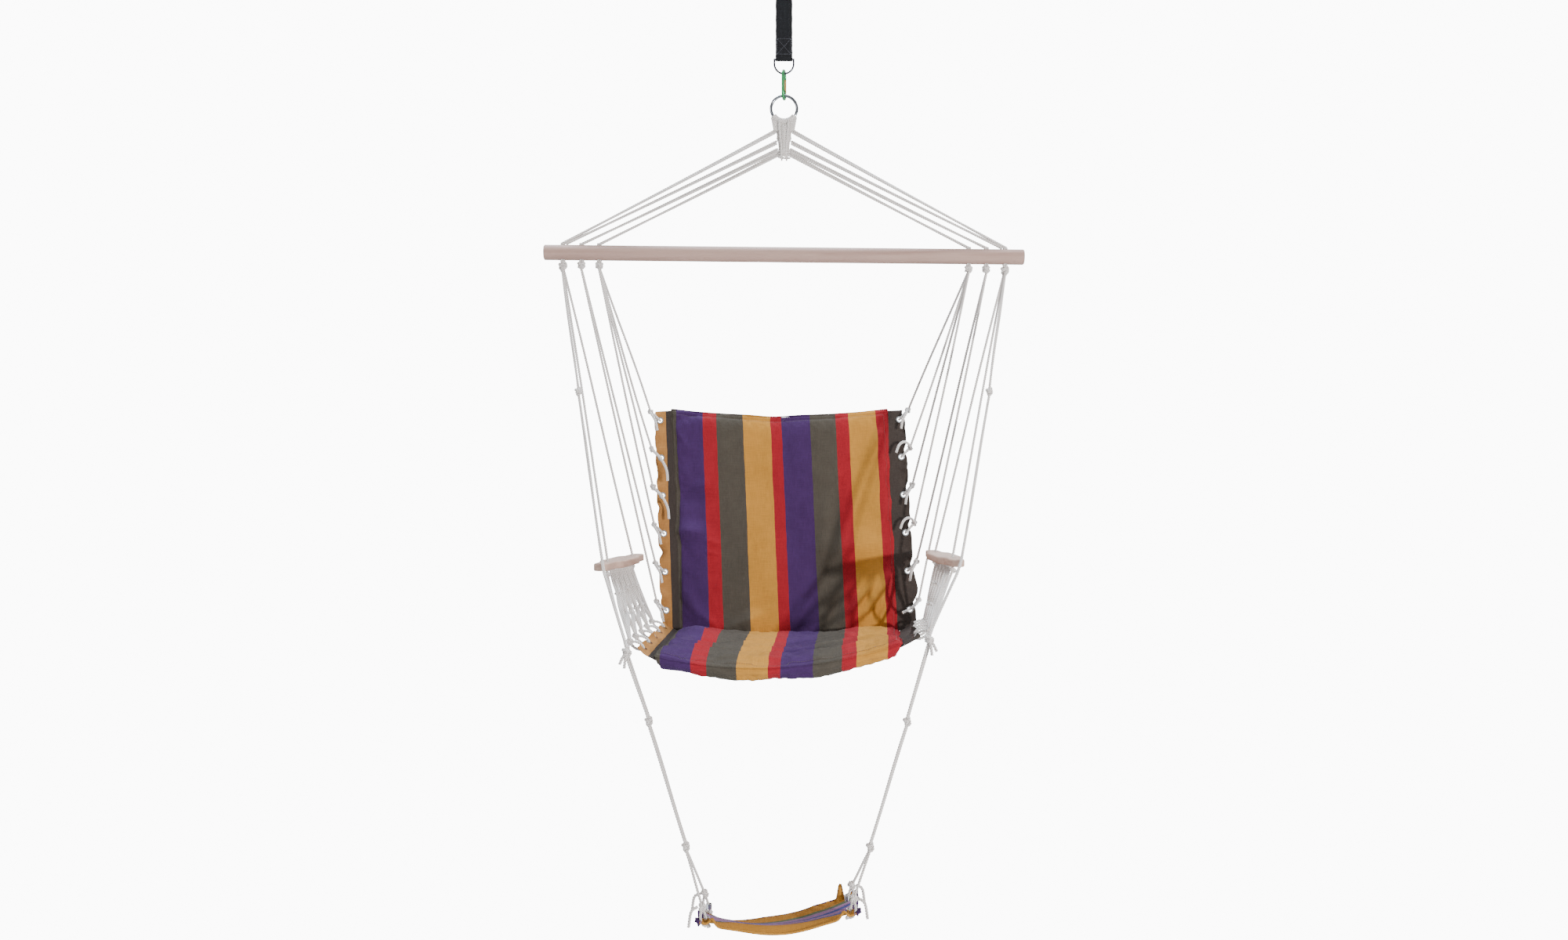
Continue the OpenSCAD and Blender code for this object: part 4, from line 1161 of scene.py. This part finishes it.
# Each fold runs from one place on the cloth to another: x, y, x, y, half width, height.
BACK_FOLDS = (
    (-236, 222, -170, 218, 17, 8.0), (-236, 298, -176, 302, 18, -5.5), (-232, 200, -196, 150, 10, -2.4),
    (-178, 205, -140, 196, 6, 2.2), (-176, 180, -148, 175, 5, 1.8), (-226, 110, -190, 30, 12, 3.0),
    (-200, 60, -150, 18, 9, 2.2), (100, 300, 62, 110, 13, 3.6), (128, 330, 96, 150, 10, -2.8),
    (84, 240, 52, 60, 12, -2.6), (228, 128, 150, 24, 13, 4.2), (214, 92, 178, 14, 9, -3.2),
    (236, 160, 200, 62, 10, 3.4), (170, 96, 128, 20, 9, 3.0), (120, 96, 88, 16, 12, -2.6),
    (40, 86, 10, 12, 14, 2.2), (232, 452, 196, 380, 9, 2.6), (236, 372, 206, 300, 9, 2.2),
    (238, 290, 210, 226, 8, 2.2), (-232, 452, -204, 392, 8, 1.8), (-20, 470, -26, 360, 14, 2.0),
    (12, 474, 10, 380, 12, -1.8), (-120, 474, -124, 300, 18, 1.6), (150, 470, 150, 340, 18, 1.4),
    (-80, 60, -84, 10, 18, 2.0), (-40, 60, -150, 12, 11, 2.6), (60, 184, 246, 196, 26, 4.0),
    (70, 132, 220, 146, 30, -3.4), (196, 120, 120, 40, 8, 3.0), (222, 70, 168, 8, 7, 2.6),
    (96, 168, 40, 92, 9, 2.2), (-208, 300, -160, 330, 12, 2.4), (-60, 250, -20, 60, 26, 1.8),
    (30, 420, 60, 250, 22, 1.8), (-210, 404, -180, 300, 14, -1.6),
)


def back_middle(u, v):
    p = back_at(u, v)
    p[..., 2] -= 8 * (1 - u * u) * (1 - np.clip(v, 0, 1)) ** 3
    dip = 3.5 * np.exp(-((u + 0.05) / 0.16) ** 2)
    p[..., 2] += (2.0 * np.abs(u) ** 4 - dip) * smooth01((v - 0.85) / 0.15)
    return p


back_pad, back_rim = pillow("back_pad", back_middle, vec(0, -1, 0), BACK_THICK, PAD_W, BACK_H)
SEAT_FOLDS = (
    (-212, 150, -150, 120, 26, 7.0), (-206, 250, -120, 262, 13, 3.2), (-190, 205, -120, 190, 11, -3.4),
    (-218, 330, -140, 318, 15, 3.6), (-200, 372, -110, 356, 10, -2.2), (-60, 268, 10, 282, 12, 2.8),
    (60, 300, 120, 268, 14, 3.4), (130, 262, 206, 236, 14, 4.0), (150, 214, 214, 190, 12, -3.0),
    (36, 330, 76, 306, 10, 2.6), (-100, 320, -40, 330, 14, -1.8), (160, 330, 214, 318, 12, 2.2),
    (-30, 60, 90, 66, 18, 2.0), (-150, 60, -60, 40, 16, 2.4), (120, 70, 200, 60, 16, 2.4),
    (-216, 286, -60, 306, 12, -4.6), (-20, 306, 120, 322, 11, -4.4), (-120, 230, -20, 206, 14, 3.6),
    (20, 236, 110, 214, 12, 2.6), (-100, 160, 20, 150, 16, 2.4), (60, 160, 180, 140, 14, 2.8),
    (-40, 372, 40, 380, 10, 2.2), (90, 366, 190, 352, 10, 2.4), (-130, 386, -60, 372, 9, -2.0),
)


def seat_middle(u, v):
    p = seat_at(u, v)
    roll = 2.5 * np.exp(-((v - 0.80) / 0.15) ** 2) * (1 + 1.2 * u * u)
    valley = -6.0 * np.exp(-((v - 0.42) / 0.17) ** 2) * (1 - u * u * 0.6)
    crease = -9.0 * (1 - u * u) * np.clip(1 - 3 * v, 0, 1)
    p[..., 1] += 7.0 * np.clip(1 - 8 * v, 0, 1)
    hump = 7.0 * np.exp(-((u + 0.8) / 0.22) ** 2 - ((v - 0.35) / 0.3) ** 2)
    p[..., 2] += 4.0 * smooth01((v - 0.7) / 0.3) + roll + valley + crease + hump
    return p


seat_pad, seat_rim = pillow("seat_pad", seat_middle, vec(0, 0, 1), SEAT_THICK, PAD_W, SEAT_DEPTH,
                            striped_under=0.85, ease=13.0, fuller_front=12.0)
inflate(back_pad, back_rim, cap=7.0)
inflate(seat_pad, seat_rim, cap=9.0)
for pad, folds, micro, depth in (
    (back_pad, BACK_FOLDS, 0.9, BACK_H),
    (seat_pad, SEAT_FOLDS, 2.2, SEAT_DEPTH),
):
    subdivide(pad)
    crumple(pad, folds, micro, PAD_W, depth)
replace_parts(back_pad, "back_front_panel", "back_wadding", "back_rear_panel")
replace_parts(seat_pad, "seat_top_panel", "seat_wadding", "seat_bottom_panel")


def rim_line(surface, depth, u, low, high):
    """Points up one side of a pad, across its end and down the other, and their places on the cloth."""
    us, vs = [], []
    path = ((-u, low), (-u, high), (u, high), (u, low))
    for (u0, v0), (u1, v1) in zip(path, path[1:]):
        t = np.arange(90) / 90
        us, vs = np.append(us, lerp(u0, u1, t)), np.append(vs, lerp(v0, v1, t))
    return surface(us, vs), np.stack([us * PAD_W / 2, vs * depth, 0 * us], 1)


piping("back_piping", *rim_line(back_middle, BACK_H, 1, 0.0, 1.0), "sling", 1.6)
piping("seat_piping", *rim_line(seat_middle, SEAT_DEPTH, 1, 0.0, 1.0), "sling", 1.7)

seams = Soup()
for pad, surface, lift, depth, low, high in (
    (back_pad, back_middle, vec(0, -8, 0), BACK_H, 0.02, 0.984),
    (seat_pad, seat_middle, vec(0, 0, 12), SEAT_DEPTH, 0.03, 0.981),
):
    hits, normals = on_surface(pad, rim_line(surface, depth, 0.969, low, high)[0] + lift)
    stitch_row(seams, hits, normals, size=0.4, long=3.0, gap=1.4)
seams.piece("pad_stitching", "seam_thread", "sling")


# ---- Hems: single sheets that curl between their ties, with eyelet holes ----

HOLE_R = 5.6


def punched(name, points, cloth, holes, thickness, material, body, radius=HOLE_R):
    """A sheet from a grid of points, with round holes at the given cloth places, given a thickness."""
    ny, nx = points.shape[:2]
    flat, pts = cloth.reshape(-1, 3), points.reshape(-1, 3).copy()
    gone, faces = set(), []
    for i in range(ny - 1):
        for j in range(nx - 1):
            a = i * nx + j
            quad = (a, a + 1, a + nx + 1, a + nx)
            middle = flat[list(quad)].mean(0)
            if any(math.hypot(middle[0] - x, middle[1] - y) < radius - 0.9 for x, y in holes):
                gone.update(quad)
            else:
                faces.append(quad)
    kept = sorted(set(k for f in faces for k in f))
    for k in gone & set(kept):
        for hole in holes:
            away = flat[k][:2] - hole
            far = math.hypot(*away)
            if far < radius * 1.6:
                out = away / far * (radius - far)
                i, j = divmod(k, nx)
                across = points[i, min(j + 1, nx - 1)] - points[i, max(j - 1, 0)]
                along = points[min(i + 1, ny - 1), j] - points[max(i - 1, 0), j]
                pts[k] += unit(across) * out[0] + unit(along) * out[1]
    order = {k: n for n, k in enumerate(kept)}
    faces = [tuple(order[k] for k in f) for f in faces]
    made = mesh_piece(name, pts[kept], faces, MAT[material], body, flat[kept])
    solid = made.modifiers.new("thickness", "SOLIDIFY")
    solid.thickness, solid.offset = thickness * MM, 0.0
    smooth(finish_mesh(made), 60)
    return made


HEM_IN, HEM_OUT, HEM_FLAT_W, HEM_T = -4, 38, 0.042, 2.0


def hem_sheet(name, f, start, length, eyes, lead, curl, pinch, bulge, tint, tilt_tie):
    """A hem from its seam at the pad to its free edge, flat at its eyelets and curling between them."""
    outs = np.linspace(HEM_IN, HEM_OUT, 29)
    o, s = np.meshgrid(outs, np.linspace(start, length - 1, int((length - start) / 2.4)))
    held, pulled = np.zeros_like(s), np.zeros_like(s)
    for eye in eyes:
        held = np.maximum(held, np.clip(1.25 * np.exp(-((s - eye[1]) / 16.0) ** 2), 0, 1))
        pulled = np.maximum(pulled, np.exp(-((s - eye[1] - tilt_tie) / 11.0) ** 2))
    beat = math.tau * (s - eyes[0][1]) / (eyes[1][1] - eyes[0][1])
    swing = (0.8 * np.sin(0.5 * beat + lead) + 0.45 * np.sin(1.3 * beat + 2 * lead)
             + 0.3 * np.sin(2.1 * beat + 3))
    angle = curl * swing * (1 - held) * smooth01((o - 8) / 30)
    step = outs[1] - outs[0]
    reach = HEM_IN - step + np.cumsum(np.cos(angle), 1) * step
    n = np.cumsum(np.sin(angle), 1) * step
    edge = np.clip(o / HEM_OUT, 0, 1)
    reach += edge * (bulge * np.exp(-((s - 84) / 26.0) ** 2) - pinch * pulled * smooth01((o - 20) / 16))
    n += 0.6 * np.sin(s * 0.33 + o * 0.2) * edge * (1 - held)
    pts = f[0] + reach[..., None] * f[1] + s[..., None] * f[2] + n[..., None] * f[3]
    holes = [e[:2] for e in eyes]
    made = punched(name, pts, np.stack([o, s, 0 * o], -1), holes, HEM_T, tint, "sling")
    return made


# Cloth, then curl, pinch at the ties, and bulge near the lowest ties of the back's hems.
HEMS = {LEFT: ("ochre_hem", 0.85, 2.0, 0), RIGHT: ("olive_hem", 0.55, 6.0, 7.0)}
for side, word in SIDES:
    tint, curl, pinch, bulge = HEMS[side]
    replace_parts(hem_sheet("back_hem_cloth_" + word, back_hem_frame(side), -7, BACK_H, BACK_EYES, 0.6 + side,
                          curl, pinch, bulge, tint, 15), "back_hem_" + word)
    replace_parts(hem_sheet("seat_hem_cloth_" + word, seat_hem_frame(side), -8, SEAT_DEPTH, SEAT_EYES,
                          0.4 - side, 0.9, 3.5, 0, tint, 0), "seat_hem_" + word)


# ---- Footrest ----

for side, word in SIDES:
    top, mid, low = corner(side), foot_link(side), foot_knot(side)
    lines = Soup()
    for y in (-2.9, 2.9):
        off = vec(0.6 * y, 0.8 * y, 0)
        upper, lower = mid + off * 0.7 + vec(0, 0, 5), mid + off * 0.7 - vec(0, 0, 5)
        tube(lines, slack(top + off - vec(0, 0, 7), upper, y + side, 0.8), phase=y)
        tube(lines, slack(lower, low + off * 0.6 + vec(0, 0, 5), y - side, 1.2), phase=y)
    lines.rope("footrest_rope_lines_" + word, "foot_ropes", "footrest_ropes_" + word)

    lumps = Soup()
    for centre in (mid, low):
        knot(lumps, centre, 8.4, spin=0.6, tilt=1.0, tall=1.25)
        knot(lumps, centre, 7.4, spin=2.0, tilt=0.2, tall=1.3)
    lumps.rope("footrest_knot_ropes_" + word, "foot_ropes", "footrest_knots_" + word)

    ties = Soup()
    for v in (-1, 1):
        tie = foot_tie(side, v)
        under = foot_at(side * TIE_U, v * TIE_V) - vec(side * 3.7, 0, 11.1)
        tube(ties, slack(low + vec(0, v * 3, -5), toward(tie, low, 3), v + side, 0.8), phase=v)
        knot(ties, tie, 8.0, spin=v, tilt=0.7, tall=1.15)
        knot(ties, tie + vec(0, 0, 3), 6.6, spin=1.5 + v, tilt=0.2, tall=1.2)
        tube(ties, [under, tie], phase=v + 1)
        knot(ties, under, 4.6, spin=v, tilt=0.3)
        outer = [under, under + sided((9, v * 4, 2), side), under + sided((15, v * 5, 16), side), tie]
        tube(ties, spline(outer, 3.0), phase=v)
    ties.rope("footrest_tie_ropes_" + word, "footrest", "footrest_ties_" + word)

FOOT_NX, FOOT_NY, FOOT_T, FOOT_HOLE_R = 121, 57, 2.4, 5.7
REAR_U, REAR_DROP = (-1, -0.77, -0.57, -0.19, 0.45, 0.7, 1), (-28, -34, -33, -21, -8, -10, -8)
fu, fv = np.meshgrid(np.linspace(-1, 1, FOOT_NX), np.linspace(-1, 1, FOOT_NY))
cloth_points = foot_at(fu, fv)
end = np.abs(fu)
gathered = smooth01((end - 0.5) / 0.42)
at_tie = np.exp(-((np.abs(fv) - TIE_V) / 0.20) ** 2)
loose = gathered * (1 - at_tie)
drop = -7.0 * loose * (1 - 0.5 * fv * fv)
droop = -18.0 * np.clip((end - 0.90) / 0.10, 0, 1) ** 1.5 * (0.15 + np.exp(-((fv - 0.1) / 0.35) ** 2))
flap = 13.0 * np.exp(-((end - 0.79) / 0.045) ** 2) * smooth01((-fv - 0.55) / 0.35)
rear = np.interp(fu, REAR_U, REAR_DROP) * np.clip(fv, 0, 1) ** 1.5
front = 8.0 * (1 - fu * fu) * np.exp(-((fv + 0.37) / 0.25) ** 2) - 9.0 * smooth01((-fv - 0.4) / 0.6)
lift = 26.0 * smooth01((0.034 - np.abs(fu - 0.775)) / 0.02) * smooth01((fv - 0.8) / 0.1)
creased = 1.3 * np.sin(9 * fv + 4 * fu) * (1 - gathered) * np.sin(math.pi * (fu + 1) / 2)
creased += 1.8 * np.sin(17 * fv + 3 * fu) * loose
cloth_points[..., 2] += drop + droop + flap + rear + front + lift + creased
cloth_points[..., 1] += 7.0 * smooth01((-fv - 0.55) / 0.45)
cloth_points[..., 1] += 4.0 * loose * np.sin(6 * fv) + 1.5 * np.sin(8 * fu + 2 * fv)
cloth_points[..., 0] += np.sign(fu) * (-3.0) * loose * (1 - fv * fv)
foot_cloth = np.stack([fu * FOOT_LEN / 2, fv * FOOT_DEPTH / 2, 0 * fu], -1)
foot_cloth[..., 1] = np.where(end > 0.93, 72, foot_cloth[..., 1])
foot_holes = [(s * TIE_U * FOOT_LEN / 2, v * TIE_V * FOOT_DEPTH / 2) for s in (-1, 1) for v in (-1, 1)]
footrest = punched("footrest_cloth", cloth_points, foot_cloth, foot_holes, FOOT_T, "foot", "footrest",
                   FOOT_HOLE_R)
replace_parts(footrest, "footrest_panel")
for row, label in ((0, "front"), (-1, "rear")):
    piping("footrest_hem_" + label, cloth_points[row, 1:-1], foot_cloth[row, 1:-1], "footrest", 2.3, "foot")


# ---- Stage and light ----

# Bright enough to show as white behind the object; it lights nothing, since only the camera sees it.
STAGE_GLOW, WORLD_LIGHT = 11.0, 0.75


def stage_bowl():
    """A plain pale floor that curves up into a wall all round, far from the object."""
    floor, flat_r, curve_r, top = -2.12, 5.5, 3, 5.0
    profile = [(0.0, floor), (flat_r, floor)]
    profile += [(flat_r + curve_r * math.sin(a), floor + curve_r * (1 - math.cos(a)))
                for a in np.linspace(0.1, math.pi / 2, 12)]
    profile.append((flat_r + curve_r, top))
    verts = [(r * math.cos(a), r * math.sin(a), z) for r, z in profile for a in turn(64)]
    made = mesh_object("stage_bowl", verts, shell(len(profile), 64)[:-2])
    smooth(made)
    shade = Shade("stage_white", 0.9, Base_Color=grey(0.7))
    glow = shade.node("ShaderNodeEmission", {"Color": grey(1.0), "Strength": STAGE_GLOW})
    seen = shade.node("ShaderNodeLightPath").outputs["Is Camera Ray"]
    both = shade.node("ShaderNodeMixShader", {0: seen, 1: shade.shader.outputs[0], 2: glow.outputs[0]})
    shade.tree.links.new(both.outputs[0], shade.tree.nodes["Material Output"].inputs["Surface"])
    made.data.materials.append(shade.material)


stage_bowl()
world = bpy.data.worlds.new("studio")
world.use_nodes = True
world.node_tree.nodes["Background"].inputs["Color"].default_value = grey(1.0)
world.node_tree.nodes["Background"].inputs["Strength"].default_value = WORLD_LIGHT
bpy.context.scene.world = world

WHITE, SKY = (1.0, 1.0, 1.0), (0.74, 0.88, 1.0)
# Name, place, target, width in metres, power in watts, colour.
for label, place, target, size, power, colour in (
    ("key", (2.35, -3.0, -0.90), (0, 0, -1.25), 0.16, 170, WHITE),
    ("fill", (-3.2, -2.6, 0.3), (0, 0, -1.2), 2.0, 50, WHITE),
    ("top", (-0.3, 0.5, 1.9), (0, 0, -1.4), 1.6, 230, SKY),
    ("rear", (0.6, 3.4, 0.2), (0, 0, -1.2), 2.4, 35, WHITE),
):
    data = bpy.data.lights.new(label, "AREA")
    data.shape, data.size, data.energy, data.color = "DISK", size, power, colour
    lamp = put(label, data)
    lamp.location = place
    lamp.rotation_euler = (Vector(target) - Vector(place)).to_track_quat("-Z", "Y").to_euler()
